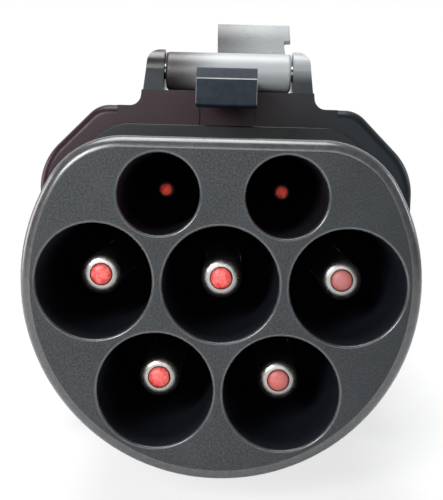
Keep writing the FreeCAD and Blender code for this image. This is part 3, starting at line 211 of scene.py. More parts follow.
def fill(bm, edges, towards):
    """A flat face with holes, as triangles."""
    bmesh.ops.triangle_fill(bm, edges=edges, use_beauty=True, use_dissolve=False, normal=towards)


def quarter_round(amount, steps):
    """(depth, growth) pairs of a rounded front edge, from its face to its side."""
    angles = [math.pi / 2 * step / steps for step in range(steps + 1)]
    return [(amount * (1 - math.cos(turn)), amount * (math.sin(turn) - 1)) for turn in angles]


def turn_profile(bm, origin, axis, profile, steps, closed=False):
    """Spins (radius, along) points about an axis and gives the new faces."""
    axis = Vector(axis)
    outward = axis.orthogonal().normalized()
    known = set(bm.faces)
    places = [Vector(origin) + outward * radius + axis * along for radius, along in profile]
    chain = [bm.verts.new(place) for place in places]
    links = list(zip(chain, chain[1:] + chain[:1] if closed else chain[1:]))
    edges = [bm.edges.new(link) for link in links]
    bmesh.ops.spin(
        bm, geom=chain + edges, cent=origin, axis=axis, dvec=(0, 0, 0), angle=2 * math.pi,
        steps=steps, use_merge=True, space=Matrix.Identity(4))
    return [face for face in bm.faces if face not in known]


def ring_edges(faces, origin, axis, radius, along):
    """The edges of turned faces that lie at one radius and one place along the axis."""
    found = set()
    axis, origin = Vector(axis), Vector(origin)
    for face in faces:
        for edge in face.edges:
            spots = [vert.co - origin for vert in edge.verts]
            heights = [spot.dot(axis) for spot in spots]
            radii = [(spot - axis * height).length for spot, height in zip(spots, heights)]
            if all(abs(height - along) < 1e-3 for height in heights) and all(
                    abs(size - radius) < 1e-3 for size in radii):
                found.add(edge)
    return list(found)


def sharp_edges(bm, wanted, least=35.0):
    """Edges whose faces meet at more than an angle and whose middle passes a test."""
    found = []
    for edge in bm.edges:
        if len(edge.link_faces) == 2 and edge.calc_face_angle(0.0) > math.radians(least):
            if wanted((edge.verts[0].co + edge.verts[1].co) / 2):
                found.append(edge)
    return found


def soften(bm, edges, amount):
    """Rounds edges."""
    bmesh.ops.bevel(
        bm, geom=edges, offset=amount, offset_type="OFFSET", affect="EDGES", segments=3,
        profile=0.5, material=-1, clamp_overlap=True, loop_slide=True)


def turn_verts(bm, verts, degrees, axis):
    """Turns vertices about an axis through the origin."""
    bmesh.ops.rotate(bm, verts=verts, cent=(0, 0, 0),
                     matrix=Matrix.Rotation(math.radians(degrees), 3, axis))


def tidy(bm):
    """Merges doubles and turns the faces outwards."""
    bmesh.ops.remove_doubles(bm, verts=bm.verts, dist=1e-4)
    bmesh.ops.recalc_face_normals(bm, faces=bm.faces)


def combined(base, tool, operation):
    """A new form from two closed ones: UNION, DIFFERENCE or INTERSECT."""
    things = []
    for form in (base, tool):
        tidy(form)
        mesh = bpy.data.meshes.new("form")
        form.to_mesh(mesh)
        form.free()
        thing = bpy.data.objects.new("form", mesh)
        bpy.context.scene.collection.objects.link(thing)
        things.append(thing)
    cut = things[0].modifiers.new("cut", "BOOLEAN")
    cut.operation, cut.object, cut.solver = operation, things[1], "EXACT"
    bpy.context.view_layer.update()
    shape = things[0].evaluated_get(bpy.context.evaluated_depsgraph_get())
    result = bmesh.new()
    result.from_mesh(shape.data)
    for thing in things:
        mesh = thing.data
        bpy.data.objects.remove(thing)
        bpy.data.meshes.remove(mesh)
    return result


def stack(sections):
    """A closed form through (y, arcs) sections."""
    bm = bmesh.new()
    loops = [trace(bm, y, arcs) for y, arcs in sections]
    bridge(bm, loops)
    for loop in (loops[0], loops[-1]):
        bmesh.ops.edgeloop_fill(bm, edges=loop)
    return bm


def prism(arcs, start, stop):
    """A closed form with one outline, from one place along Y to another."""
    bm = stack([(start, arcs), (stop, arcs)])
    tidy(bm)
    return bm


def side_prism(corners, half):
    """A closed form whose (y, z, rounding, steps) outline is seen from the side."""
    return side_prism_arcs(rounded_arcs(corners), half)


def side_prism_arcs(arcs, half):
    """The same from arcs of (y, z, radius, start, sweep, steps)."""
    bm = prism(arcs, -half, half)
    turn_verts(bm, bm.verts, 90, "Z")
    return bm


def box(low, high):
    """A closed box between two corners."""
    bm = bmesh.new()
    bmesh.ops.create_cube(bm, size=1.0)
    low, high = Vector(low), Vector(high)
    bmesh.ops.scale(bm, vec=high - low, verts=bm.verts)
    bmesh.ops.translate(bm, vec=(low + high) / 2, verts=bm.verts)
    return bm


def make_piece(name, bm, materials, body, stands_for):
    """Turns a form into a piece in metres that rides on a body and stands for CAD nodes."""
    tidy(bm)
    bmesh.ops.scale(bm, vec=(MM, MM, MM), verts=bm.verts)
    mesh = bpy.data.meshes.new(name)
    bm.to_mesh(mesh)
    bm.free()
    for polygon in mesh.polygons:
        polygon.use_smooth = True
    mesh.set_sharp_from_angle(angle=math.radians(SMOOTH_TO))
    piece = bpy.data.objects.new(name, mesh)
    bpy.context.scene.collection.objects.link(piece)
    for material in materials:
        mesh.materials.append(material)
    even = piece.modifiers.new("even_normals", "WEIGHTED_NORMAL")
    even.keep_sharp = True
    even.weight = 50
    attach(piece, body)
    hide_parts(*stands_for)
    return piece


# Materials

def linear(colour):
    """An sRGB hex colour as the linear one that a socket takes."""
    parts = [int(colour[place:place + 2], 16) / 255 for place in (1, 3, 5)]
    return tuple(
        part / 12.92 if part <= 0.04045 else ((part + 0.055) / 1.055) ** 2.4 for part in parts
    ) + (1.0,)


def add_node(tree, kind, inputs, **settings):
    """One node with its settings; an input is a value or the output that feeds it."""
    node = tree.nodes.new(kind)
    for name, value in settings.items():
        setattr(node, name, value)
    for name, value in inputs.items():
        if isinstance(value, bpy.types.NodeSocket):
            tree.links.new(value, node.inputs[name])
        else:
            node.inputs[name].default_value = value
    return node


def surface(name):
    """An empty material: its node tree, its object coordinates and its shader."""
    material = bpy.data.materials.new(name)
    material.use_nodes = True
    tree = material.node_tree
    tree.nodes.clear()
    place = add_node(tree, "ShaderNodeTexCoord", {}).outputs["Object"]
    shader = add_node(tree, "ShaderNodeBsdfPrincipled", {})
    add_node(tree, "ShaderNodeOutputMaterial", {"Surface": shader.outputs["BSDF"]})
    return material, tree, place, shader


def moulded(name, dark, light, roughness, grain, relief, level=0.5, mottle=7.0, drifts=()):
    """Moulded plastic: mottled colour, fine mould grain in the relief and a varying gloss.

    Each drift is (axis, colour, start, stop): the colour turns to another between two places.
    """
    material, tree, place, shader = surface(name)
    patches = add_node(tree, "ShaderNodeTexNoise", {
        "Vector": place, "Scale": 1 / (mottle * MM), "Detail": 3.0, "Roughness": 0.6})
    grains = add_node(tree, "ShaderNodeTexNoise", {
        "Vector": place, "Scale": 1 / (grain * MM), "Detail": 2.0, "Roughness": 0.5})
    blend = add_node(tree, "ShaderNodeMath", {
        0: patches.outputs["Fac"], 1: 0.35, 2: grains.outputs["Fac"]}, operation="MULTIPLY_ADD")
    spread = add_node(tree, "ShaderNodeMapRange", {
        "Value": blend.outputs["Value"], "From Min": 0.5, "From Max": 0.85})
    colour = add_node(tree, "ShaderNodeMix", {
        "Factor": spread.outputs["Result"], 6: linear(dark), 7: linear(light)}, data_type="RGBA")
    parts = add_node(tree, "ShaderNodeSeparateXYZ", {"Vector": place})
    for axis, towards, start, stop in drifts:
        along = add_node(tree, "ShaderNodeMapRange", {
            "Value": parts.outputs[axis], "From Min": start * MM, "From Max": stop * MM},
            interpolation_type="SMOOTHSTEP")
        colour = add_node(tree, "ShaderNodeMix", {
            "Factor": along.outputs["Result"], 6: colour.outputs[2], 7: linear(towards)},
            data_type="RGBA")
    tree.links.new(colour.outputs[2], shader.inputs["Base Color"])
    gloss = add_node(tree, "ShaderNodeMapRange", {
        "Value": patches.outputs["Fac"], "From Min": 0.3, "From Max": 0.7,
        "To Min": roughness - 0.05, "To Max": roughness + 0.05})
    tree.links.new(gloss.outputs["Result"], shader.inputs["Roughness"])
    bump = add_node(tree, "ShaderNodeBump", {
        "Height": grains.outputs["Fac"], "Strength": 0.6, "Distance": relief * MM})
    tree.links.new(bump.outputs["Normal"], shader.inputs["Normal"])
    shader.inputs["Specular IOR Level"].default_value = level
    return material


def turned_metal(name, colour, roughness, ring, relief):
    """Turned or plated metal: fine tool rings and small differences in gloss."""
    material, tree, place, shader = surface(name)
    rings = add_node(tree, "ShaderNodeTexNoise", {
        "Vector": place, "Scale": 1 / (ring * MM), "Detail": 2.0})
    gloss = add_node(tree, "ShaderNodeMapRange", {
        "Value": rings.outputs["Fac"], "From Min": 0.3, "From Max": 0.7,
        "To Min": roughness - 0.06, "To Max": roughness + 0.06})
    tree.links.new(gloss.outputs["Result"], shader.inputs["Roughness"])
    bump = add_node(tree, "ShaderNodeBump", {
        "Height": rings.outputs["Fac"], "Strength": 0.4, "Distance": relief * MM})
    tree.links.new(bump.outputs["Normal"], shader.inputs["Normal"])
    shader.inputs["Base Color"].default_value = linear(colour)
    shader.inputs["Metallic"].default_value = 1.0
    return material


# Glass-filled nylon, near black with a soft sheen. Its plum tone on the front wall is a painted
# reflection that fades out towards the right and behind the wall; the collar turns cool grey.
nylon = moulded("glass_filled_nylon", "#1f0e16", "#26141c", 0.34, 0.5, 0.008, 0.15, 9.0,
                (("X", "#12181c", -5, 22), ("Y", "#141618", -30.8, -28.8),
                 ("Y", "#15191b", -31, -32)))
# The same on the ears, where the tool was polished. Their colour is painted light: a painted
# highlight pales the right ear's top, the left ear keeps a warm painted reflection, and painted
# shade turns both a plain dark grey lower down.
ear_nylon = moulded("ear_nylon_painted_highlight", "#1a1416", "#20191c", 0.32, 0.8, 0.004, 0.5, 7.0,
                    (("X", "#85898b", -8, 12), ("Z", "#24282b", 68.8, 64.5)))
# The same on the blocks' faces and sides, eroded coarser: greyer and matte, with a fine speckle;
# towards the right it darkens a little as painted shade.
face_nylon = moulded("eroded_face_nylon", "#1d2022", "#35383a", 0.62, 0.28, 0.05, 0.2, 7.0,
                     (("X", "#1b1f21", 0, 45),))
# The same on the blocks' edges and cup rims, rubbed by plugging: smoother and shinier.
edge_nylon = moulded("rubbed_edge_nylon", "#2e3032", "#37393b", 0.24, 0.8, 0.005, 0.6)
# The same inside the cups, drawn off long core pins: smooth; its near-black, bluish colour is
# painted shade deep in the cups.
cup_nylon = moulded("cup_nylon_painted_shade", "#181a21", "#1c1e25", 0.40, 0.8, 0.003, 0.2)
# The same on the cups' floors, left dull by the core pins' ends; their almost black colour is
# painted shade at the bottom of the cups.
floor_nylon = moulded("cup_floor_nylon", "#07070a", "#08090c", 0.70, 0.8, 0.003, 0.02)
# Acetal of the hook and its arm: dark, with a slate tone and little gloss.
acetal = moulded("moulded_acetal", "#151c25", "#1b242e", 0.38, 0.8, 0.003, 0.1)
# The same on the barrel and the hook's edges, satin. Its pale colour is a painted highlight, paler
# still away from the left ear, where its warm dark tone is a painted reflection.
acetal_painted_highlight = moulded("acetal_painted_highlight", "#2b2628", "#332e30", 0.42, 0.8, 0.003, 0.5, 7.0,
                        (("X", "#909496", -10.5, 0),))
# The same on the thumb tab, slick enough to mirror the light; dark at the left, it pales towards
# the right as a painted reflection.
thumb_acetal = moulded("thumb_acetal_painted_reflection", "#1c2022", "#23272a", 0.30, 0.8, 0.003, 0.4, 7.0,
                       (("X", "#6a6e70", -4, 8),))
# Polyamide of the plates behind the blocks, plain black.
plate_nylon = moulded("plain_black_nylon", "#1a1b1c", "#222324", 0.5, 0.6, 0.01)
# Polycarbonate caps, pigmented red: finger-safe tips with a slight gloss, greyer towards the right.
red_cap = moulded("red_polycarbonate", "#bf211b", "#dd6a66", 0.42, 0.5, 0.004, 0.5, 1.6,
                  (("X", "#a05a56", 2, 12),))
# The same on the slim signal caps in a stronger red: painted light that makes up for the shade
# deep in their cups.
slim_cap = moulded("slim_cap_painted_light", "#ff3422", "#ff6652", 0.42, 0.5, 0.004, 0.3, 1.6)
# Silicone rubber of the seals: very dark, dull, and slightly uneven.
silicone = moulded("silicone_rubber", "#1c1c1d", "#262627", 0.72, 0.4, 0.01)
# Wire insulation, cross-linked: satin black.
insulation = moulded("wire_insulation", "#1b1b1c", "#242425", 0.42, 1.2, 0.005)
# Glass-epoxy board under green lacquer: smooth, with a faint weave in the colour.
laminate = moulded("lacquered_laminate", "#1f5a3a", "#2a6d48", 0.28, 0.9, 0.004)
# Resistor body: cream enamel with a soft gloss.
enamel = moulded("cream_enamel", "#c9b78a", "#d6c69c", 0.3, 0.9, 0.004)
# Silver plating on turned copper: a little tarnished, slightly warm, softly brushed by the tool.
silver = turned_metal("silver_plated_copper", "#8a8885", 0.32, 0.5, 0.006)
# Near-black metal of the two signal pins: painted shade in their deep cups, so dark that only
# their red tips show.
shaded_signal_metal = turned_metal("signal_pin_painted_shade", "#1b1b1d", 0.50, 0.25, 0.003)
# Stainless steel of screws, spring and hinge pin: a cooler grey with clear reflections.
stainless = turned_metal("stainless_steel", "#a9abad", 0.28, 0.3, 0.003)


# Contact blocks

# Finishes of a block in the order of its material slots: its face and sides, its edges and cup
# rims, the cups' walls and their floors, the last two darkened as painted shade.
ERODED, SMOOTH, PAINTED_CUP_SHADE, FLOOR = range(4)


def block_form(length, size):
    """D block in its own frame: face at y = 0, depths along +Y, all seven cups."""
    bm = bmesh.new()
    loops = [trace(bm, depth, d_arcs(growth, size))
             for depth, growth in quarter_round(NOSE_EDGE, 8)]
    bridge(bm, loops)
    finish_of = {face: SMOOTH for face in bm.faces}
    loops.append(trace(bm, length, d_arcs(0.0, size)))
    bridge(bm, loops[-2:])
    front, back = list(loops[0]), list(loops[-1])
    for spots, sizes in ((POWER_SPOTS, POWER), (SIGNAL_SPOTS, SIGNAL)):
        lip = sizes["pin"] + ROOT_GAP
        bore = lip + ROOT_STEP
        rim = [(sizes["cup"] - growth, depth) for depth, growth in quarter_round(CUP_RIM, 5)]
        step = CUP_DEPTH + ROOT_SINK / 2
        profile = rim + [(sizes["cup"], CUP_DEPTH), (lip, CUP_DEPTH), (lip, step), (bore, step),
                         (bore, length)]
        for x, z in spots.values():
            centre = (x, 0, AXIS + z)
            faces = turn_profile(bm, centre, (0, 1, 0), profile, 72)
            for face in faces:
                depth = face.calc_center_median().y
                inside = PAINTED_CUP_SHADE if depth < CUP_DEPTH - 0.1 else FLOOR
                finish_of[face] = inside if depth > CUP_RIM else SMOOTH
            front += ring_edges(faces, centre, (0, 1, 0), rim[0][0], 0)
            back += ring_edges(faces, centre, (0, 1, 0), bore, length)
    for x in (-PLATE_SCREW_X, PLATE_SCREW_X):
        for z in (-PLATE_SCREW_Z, PLATE_SCREW_Z):
            centre = (x, 0, AXIS + z)
            hole = [(PLATE_HOLE, length), (PLATE_HOLE, length - PLATE_HOLE_DEPTH),
                    (0, length - PLATE_HOLE_DEPTH)]
            faces = turn_profile(bm, centre, (0, 1, 0), hole, 24)
            back += ring_edges(faces, centre, (0, 1, 0), PLATE_HOLE, length)
    fill(bm, front, (0, -1, 0))
    fill(bm, back, (0, 1, 0))
    for face in bm.faces:
        face.material_index = finish_of.get(face, ERODED)
    return bm


def pin_profile(sizes, tip, block):
    """Section of a pin, tip to crimp, in (radius, depth) points."""
    radius, cap, crimp = sizes["pin"], sizes["cap"], sizes["crimp"]
    root = radius + ROOT_STEP
    collar = root + COLLAR_STEP
    start = block + PLATE + (BOARD if sizes is SIGNAL else 0.0)
    back = start + CRIMP
    bore = crimp - CRIMP_WALL
    tip_curve = [(radius + growth, tip + depth * TIP_FLATNESS)
                 for depth, growth in quarter_round(sizes["tip_round"], 10)]
    return [(cap, tip + CAP_SEAT), (cap + CAP_SEAT, tip)] + tip_curve + [
        (radius, CUP_DEPTH + ROOT_SINK), (root, CUP_DEPTH + ROOT_SINK),
        (root, block), (collar, block),
        (collar, block + COLLAR_LENGTH), (root, block + COLLAR_LENGTH), (root, start),
        (crimp - CRIMP_BEVEL, start), (crimp, start + CRIMP_BEVEL),
        (crimp, back - CRIMP_BEVEL), (crimp - CRIMP_BEVEL, back), (bore, back),
        (bore, back - CRIMP_BORE), (0, back - CRIMP_BORE),
        (0, tip + CAP_STEM), (cap, tip + CAP_STEM)]


def cap_profile(sizes, tip):
    """Section of a cap: a domed end on a stem."""
    cap = sizes["cap"]
    dome = [(cap * math.sin(turn), tip - CAP_DOME * math.cos(turn))
            for turn in (math.pi / 2 * step / 6 for step in range(7))]
    return dome + [(cap, tip + CAP_STEM), (0, tip + CAP_STEM)]


def place_at_end(bm, end):
    """Moves a form from its end's own frame to the plug's or the inlet's place."""
    if end == "inlet":
        turn_verts(bm, bm.verts, 180, "Z")
        bmesh.ops.translate(bm, vec=(0, INLET_FACE, 0), verts=bm.verts)
    else:
        bmesh.ops.translate(bm, vec=(0, NOSE_FACE, 0), verts=bm.verts)


def make_contacts():
    """Both blocks with their pins and caps."""
    for end, length, size in (("plug", PLUG_BLOCK, NOSE_D), ("inlet", INLET_BLOCK, INLET_D)):
        block = block_form(length, size)
        place_at_end(block, end)
        make_piece(end + "_contact_block", block, [face_nylon, edge_nylon, cup_nylon, floor_nylon],
                   HOLDER, [end + "_block"])
        for spots, sizes, pin_metal, red in (
                (POWER_SPOTS, POWER, silver, red_cap),
                (SIGNAL_SPOTS, SIGNAL, shaded_signal_metal, slim_cap)):
            for spot, (x, z) in spots.items():
                tip = EARTH_TIP if spot == "earth" else sizes["tip"]
                for kind, profile, material, slot in (
                        ("pin", pin_profile(sizes, tip, length), pin_metal, "silver_plate"),
                        ("cap", cap_profile(sizes, tip), red, "cap_plastic")):
                    form = bmesh.new()
                    turn_profile(form, (x, 0, AXIS + z), (0, 1, 0), profile, 48, kind == "pin")
                    place_at_end(form, end)
                    make_piece("%s_contact_%s_%s" % (end, kind, spot), form, [material], HOLDER,
                               ["%s_%s_%s" % (end, kind, spot)])


# Front housing

# Finishes of the front housing in the order of its material slots; the ears' finish carries
# painted highlight and painted shade.
PLAIN, EAR_PAINTED_LIGHT = range(2)


def rod(origin, axis, radius, start, stop, steps=48):
    """A closed round rod from one place along its axis to another."""
    bm = bmesh.new()
    turn_profile(bm, origin, axis, [(0, start), (radius, start), (radius, stop), (0, stop)], steps)
    return bm


def ears_form():
    """Pedestal and ears: the front outline where it meets the side outline."""
    low, surface, peak = TOP_HEIGHT - EAR_ROOT, TOP_HEIGHT - SINK, EAR_TOP
    skirt = EAR_FOOT + 2 * EAR_FILLET
    front = prism(rounded_arcs([
        (-skirt, low, 0, 1), (-skirt, surface, 0, 1), (-EAR_FOOT, surface, EAR_FILLET, 8),
        (-EAR_OUTER, peak, EAR_ROUND, 10), (-EAR_INNER, peak, 0, 1),
        (-EAR_INNER, PEDESTAL_TOP, 0, 1), (EAR_INNER, PEDESTAL_TOP, 0, 1),
        (EAR_INNER, peak, 0, 1), (EAR_OUTER, peak, EAR_ROUND, 10),
        (EAR_FOOT, surface, EAR_FILLET, 8), (skirt, surface, 0, 1), (skirt, low, 0, 1),
    ]), HOUSING_FACE, EAR_BACK)
    fore, aft = HINGE_Y - BARREL, HINGE_Y + BARREL
    side = side_prism([
        (HOUSING_FACE - 1, low - 1, 0, 1), (HOUSING_FACE - 1, PEDESTAL_TOP, 0, 1),
        (fore - EAR_SPLAY, PEDESTAL_TOP, 0, 1), (fore, HINGE_Z, 0, 1),
        (fore, peak, BARREL, 16), (aft, peak, BARREL, 16), (aft, HINGE_Z, 0, 1),
        (aft + EAR_SPLAY, TOP_HEIGHT, 0, 1), (aft + EAR_SPLAY, low - 1, 0, 1),
    ], skirt + 2)
    form = combined(front, side, "INTERSECT")
    tidy(form)
    soften(form, sharp_edges(form, lambda spot: spot.z > PEDESTAL_TOP - 0.1
                             and abs(spot.x) > EAR_INNER + 0.05), EAR_EDGE)
    return form


def front_housing_form():
    """Shell with lip and collar, then ears, channel, bores, spring cup, grip and screw holes."""
    bm = bmesh.new()
    outer = [trace(bm, HOUSING_FACE + depth, housing_arcs(-growth))
             for depth, growth in quarter_round(HOUSING_EDGE, 8)]
    outer += [trace(bm, JOINT - JOINT_BEVEL, housing_arcs()),
              trace(bm, JOINT, housing_arcs(JOINT_BEVEL))]
    inner = [trace(bm, JOINT, housing_arcs(WALL)), trace(bm, LIP_BACK, housing_arcs(WALL))]
    opening = [trace(bm, LIP_BACK, d_arcs(FIT_GAP)), trace(bm, COLLAR_FACE, d_arcs(FIT_GAP))]
    collar = [trace(bm, COLLAR_FACE + depth, collar_arcs(growth))
              for depth, growth in quarter_round(COLLAR_EDGE, 5)]
    collar.append(trace(bm, HOUSING_FACE, collar_arcs()))
    bridge(bm, outer + inner)
    bridge(bm, opening + collar)
    fill(bm, inner[-1] + opening[0], (0, 1, 0))
    fill(bm, outer[0] + collar[-1], (0, -1, 0))
    form = combined(bm, ears_form(), "UNION")
    cup = rod((SPRING_X, SPRING_Y, 0), (0, 0, 1), CUP_INNER + CUP_WALL, CUP_FLOOR, CUP_TOP)
    form = combined(form, cup, "UNION")
    cuts = [
        box((-CHANNEL_HALF, HOUSING_FACE - 1, CHANNEL_FLOOR),
            (CHANNEL_HALF, EAR_BACK + 1, HINGE_Z + BARREL + 1)),
        box((-CHANNEL_HALF, HOUSING_FACE - 1, AXIS + NOSE_D[1] + COLLAR_GROWTH + MARK_GAP),
            (CHANNEL_HALF, HOUSING_FACE + CHANNEL_MARK, CHANNEL_FLOOR + 1)),
        rod((0, HINGE_Y, HINGE_Z), (1, 0, 0), HINGE_ROD + HOLD_GAP, -EAR_FOOT - 1, EAR_FOOT + 1),
        rod((SPRING_X, SPRING_Y, 0), (0, 0, 1), CUP_INNER, CUP_FLOOR, CUP_TOP + 1),
    ]
    for way in (-1, 1):
        for number in range(GRIP_COUNT):
            start = GRIP_START + GRIP_PITCH * number
            stop = start + GRIP_WIDTH
            groove = rounded_arcs([(along, out, 0, 1) for along, out in (
                (start, SIDE - GRIP_DEPTH), (start, SIDE - GRIP_FLARE),
                (start - GRIP_FLARE, SIDE), (start - GRIP_FLARE, SIDE + 1),
                (stop + GRIP_FLARE, SIDE + 1), (stop + GRIP_FLARE, SIDE),
                (stop, SIDE - GRIP_FLARE), (stop, SIDE - GRIP_DEPTH))])
            cut = prism(groove, GRIP_LOW, GRIP_HIGH)
            bmesh.ops.transform(cut, verts=cut.verts, matrix=Matrix(
                ((0, 0, way, 0), (1, 0, 0, 0), (0, 1, 0, 0), (0, 0, 0, 1))))
            cuts.append(cut)
        for rise in (-SIDE_SCREW_HIGH, SIDE_SCREW_HIGH):
            face = SIDE + 0.05
            hole = bmesh.new()
            turn_profile(hole, (0, SIDE_SCREW_Y, AXIS + rise), (way, 0, 0), [
                (0, SIDE - WALL - 1), (PLATE_HOLE, SIDE - WALL - 1),
                (PLATE_HOLE, SIDE - SCREW_HEAD), (HEAD_BORE, SIDE - SCREW_HEAD),
                (HEAD_BORE, face - BORE_BEVEL), (HEAD_BORE + BORE_BEVEL, face),
                (HEAD_BORE + BORE_BEVEL, SIDE + 1), (0, SIDE + 1)], 48)
            cuts.append(hole)
    for cut in cuts:
        form = combined(form, cut, "DIFFERENCE")
    form.normal_update()
    for face in form.faces:
        middle = face.calc_center_median()
        ear = middle.z > PEDESTAL_TOP and abs(middle.x) > EAR_INNER - 0.05
        face.material_index = EAR_PAINTED_LIGHT if ear else PLAIN
    return form


# Latch lever

# Finishes of the lever in the order of its material slots.
HOOK, BARREL_SKIN, THUMB = range(3)


def barrel_form():
    """Barrel across the ears, its end edges rounded."""
    bm = bmesh.new()
    ends = [(BARREL + growth, depth) for depth, growth in quarter_round(BARREL_EDGE, 6)]
    profile = [(0, -BARREL_HALF)] + [(radius, depth - BARREL_HALF) for radius, depth in ends]
    profile += [(radius, -along) for radius, along in reversed(profile)]
    turn_profile(bm, (0, HINGE_Y, HINGE_Z), (1, 0, 0), profile, 96)
    return bm


def arm_form():
    """Arm and hook, every outer edge softened."""
    front, back = HINGE_Y - HOOK_REACH, HINGE_Y - HOOK_REACH + HOOK_LENGTH
    top, edge = HINGE_Z - ARM_DROP, HINGE_Z - HOOK_DROP
    under, inside = top - ARM_THICKNESS, BARREL / 2
    form = side_prism([
        (front, top - HOOK_BEVEL, BEVEL_FOOT, 3), (front + HOOK_BEVEL_RUN, top, BEVEL_TOP, 4),
        (HINGE_Y - inside, top, 0, 1), (HINGE_Y - inside, HINGE_Z - inside, 0, 1),
        (HINGE_Y - ARM_HEEL, under + HEEL_RISE, HEEL_ROUND, 6),
        (back + HOOK_DRAFT, under, ARM_CORNER, 4), (back, edge, HOOK_EDGE, 4),
        (front, edge, HOOK_EDGE, 4),
    ], ARM_HALF)
    soften(form, sharp_edges(form, lambda spot: abs(abs(spot.x) - ARM_HALF) < 0.01
                             and spot.y < HINGE_Y - BARREL), ARM_EDGE)
    return form


def tab_form():
    """Thumb tab: a curved plate cut to its outline from above, thinned to a lip at the right."""
    slope = math.radians(TAB_SLOPE)
    plate = side_prism_arcs([
        (TAB_Y, TAB_Z, TAB_CURVE, math.pi, -slope, 32),
        (TAB_Y, TAB_Z, TAB_CURVE + TAB_THICKNESS, math.pi - slope, slope, 32),
    ], TAB_RIGHT + 2)
    near, root, notch = TAB_Y - 1, HINGE_Y + NECK_ROOT, HINGE_Y + NOTCH_START
    outline = prism(rounded_arcs([
        (-BARREL_HALF, near, 0, 1), (-BARREL_HALF, root, 0, 1), (TAB_LEFT, root, NECK_FLARE, 8),
        (TAB_LEFT - TAB_SPREAD, TAB_END, TAB_CORNER, 6), (TAB_RIGHT, TAB_END, TAB_CORNER, 6),
        (TAB_RIGHT, notch, NOTCH_EDGE, 3), (NECK_RIGHT, notch, NOTCH_ROUND, 4),
        (NECK_RIGHT, root, 0, 1),
        (BARREL_HALF, root, 0, 1), (BARREL_HALF, near, 0, 1),
    ]), -TAB_Z, -HINGE_Z)
    turn_verts(outline, outline.verts, -90, "X")
    form = combined(plate, outline, "INTERSECT")
    past = slope * 1.2
    under = side_prism_arcs([
        (TAB_Y, TAB_Z, TAB_CURVE + TAB_LIP, math.pi, -past, 32),
        (TAB_Y, TAB_Z, TAB_CURVE + TAB_THICKNESS + 1, math.pi - past, past, 32),
    ], (TAB_RIGHT - NECK_RIGHT) / 2 + 0.5)
    bmesh.ops.translate(
        under, vec=((TAB_RIGHT + NECK_RIGHT) / 2 + 0.5, 0, 0), verts=under.verts)
    form = combined(form, under, "DIFFERENCE")
    tidy(form)
    soften(form, sharp_edges(form, lambda spot: spot.y > root - 0.5, 40), TAB_EDGE)
    return form


def lever_form():
    """Barrel, arm, tab and the spring's post in one moulding, with the hinge's bore."""
    form = combined(barrel_form(), arm_form(), "UNION")
    form = combined(form, tab_form(), "UNION")
    post = rod((SPRING_X, SPRING_Y, 0), (0, 0, 1), POST, SPRING_TOP, SPRING_TOP + POST_LENGTH)
    curve = rod((0, TAB_Y, TAB_Z), (1, 0, 0), TAB_CURVE + TAB_THICKNESS / 2, -20, 20, 256)
    form = combined(form, combined(post, curve, "DIFFERENCE"), "UNION")
    bore = rod((0, HINGE_Y, HINGE_Z), (1, 0, 0), HINGE_ROD + RUN_GAP, -EAR_OUTER, EAR_OUTER)
    form = combined(form, bore, "DIFFERENCE")
    form.normal_update()
    for face in form.faces:
        middle = face.calc_center_median()
        away = math.hypot(middle.y - HINGE_Y, middle.z - HINGE_Z)
        arm = middle.y < HINGE_Y and away > BARREL + 0.05
        # Faces at the hook's front edges take the barrel's finish, and with it a painted highlight.
        edge_highlight = arm and middle.y < HINGE_Y - HOOK_REACH + HOOK_HIGHLIGHT_DEPTH and is_hook_edge(face.normal)
        if arm and not edge_highlight:
            face.material_index = HOOK
        else:
            face.material_index = THUMB if away > BARREL + 0.05 and not edge_highlight else BARREL_SKIN
    return form


def is_hook_edge(normal):
    """Whether a face at the hook's front is an edge with the painted highlight, not a flat or the
    lower edge.
    """
    bevel = Vector((0, -HOOK_BEVEL, HOOK_BEVEL_RUN)).normalized()
    flats = (Vector((0, -1, 0)), bevel, Vector((0, 0, -1)), Vector((1, 0, 0)), Vector((-1, 0, 0)))
    return normal.z > -0.05 and all(normal.dot(flat) < 0.998 for flat in flats)


def spring_form():
    """Coil from its cup to the post: a closed turn at each end and open turns between."""
    bm = bmesh.new()
    circle = bmesh.ops.create_circle(bm, segments=12, radius=SPRING_WIRE, cap_ends=True)["verts"]
    turn_verts(bm, circle, 90, "X")
    bmesh.ops.translate(
        bm, vec=(SPRING_X + SPRING_COIL, SPRING_Y, CUP_FLOOR + SPRING_WIRE), verts=circle)
    last = list(bm.verts) + list(bm.edges) + list(bm.faces)
    closed = SPRING_WIRE * CLOSED_TURN
    rise = SPRING_TOP - CUP_FLOOR - 2 * SPRING_WIRE
    for turns, climb in ((1, closed), (2, rise - 2 * closed), (1, closed)):
        steps = 40 * turns
        last = bmesh.ops.spin(
            bm, geom=last, cent=(SPRING_X, SPRING_Y, 0), axis=(0, 0, 1),
            dvec=(0, 0, climb / steps), angle=2 * math.pi * turns, steps=steps,
            space=Matrix.Identity(4))["geom_last"]
    return bm


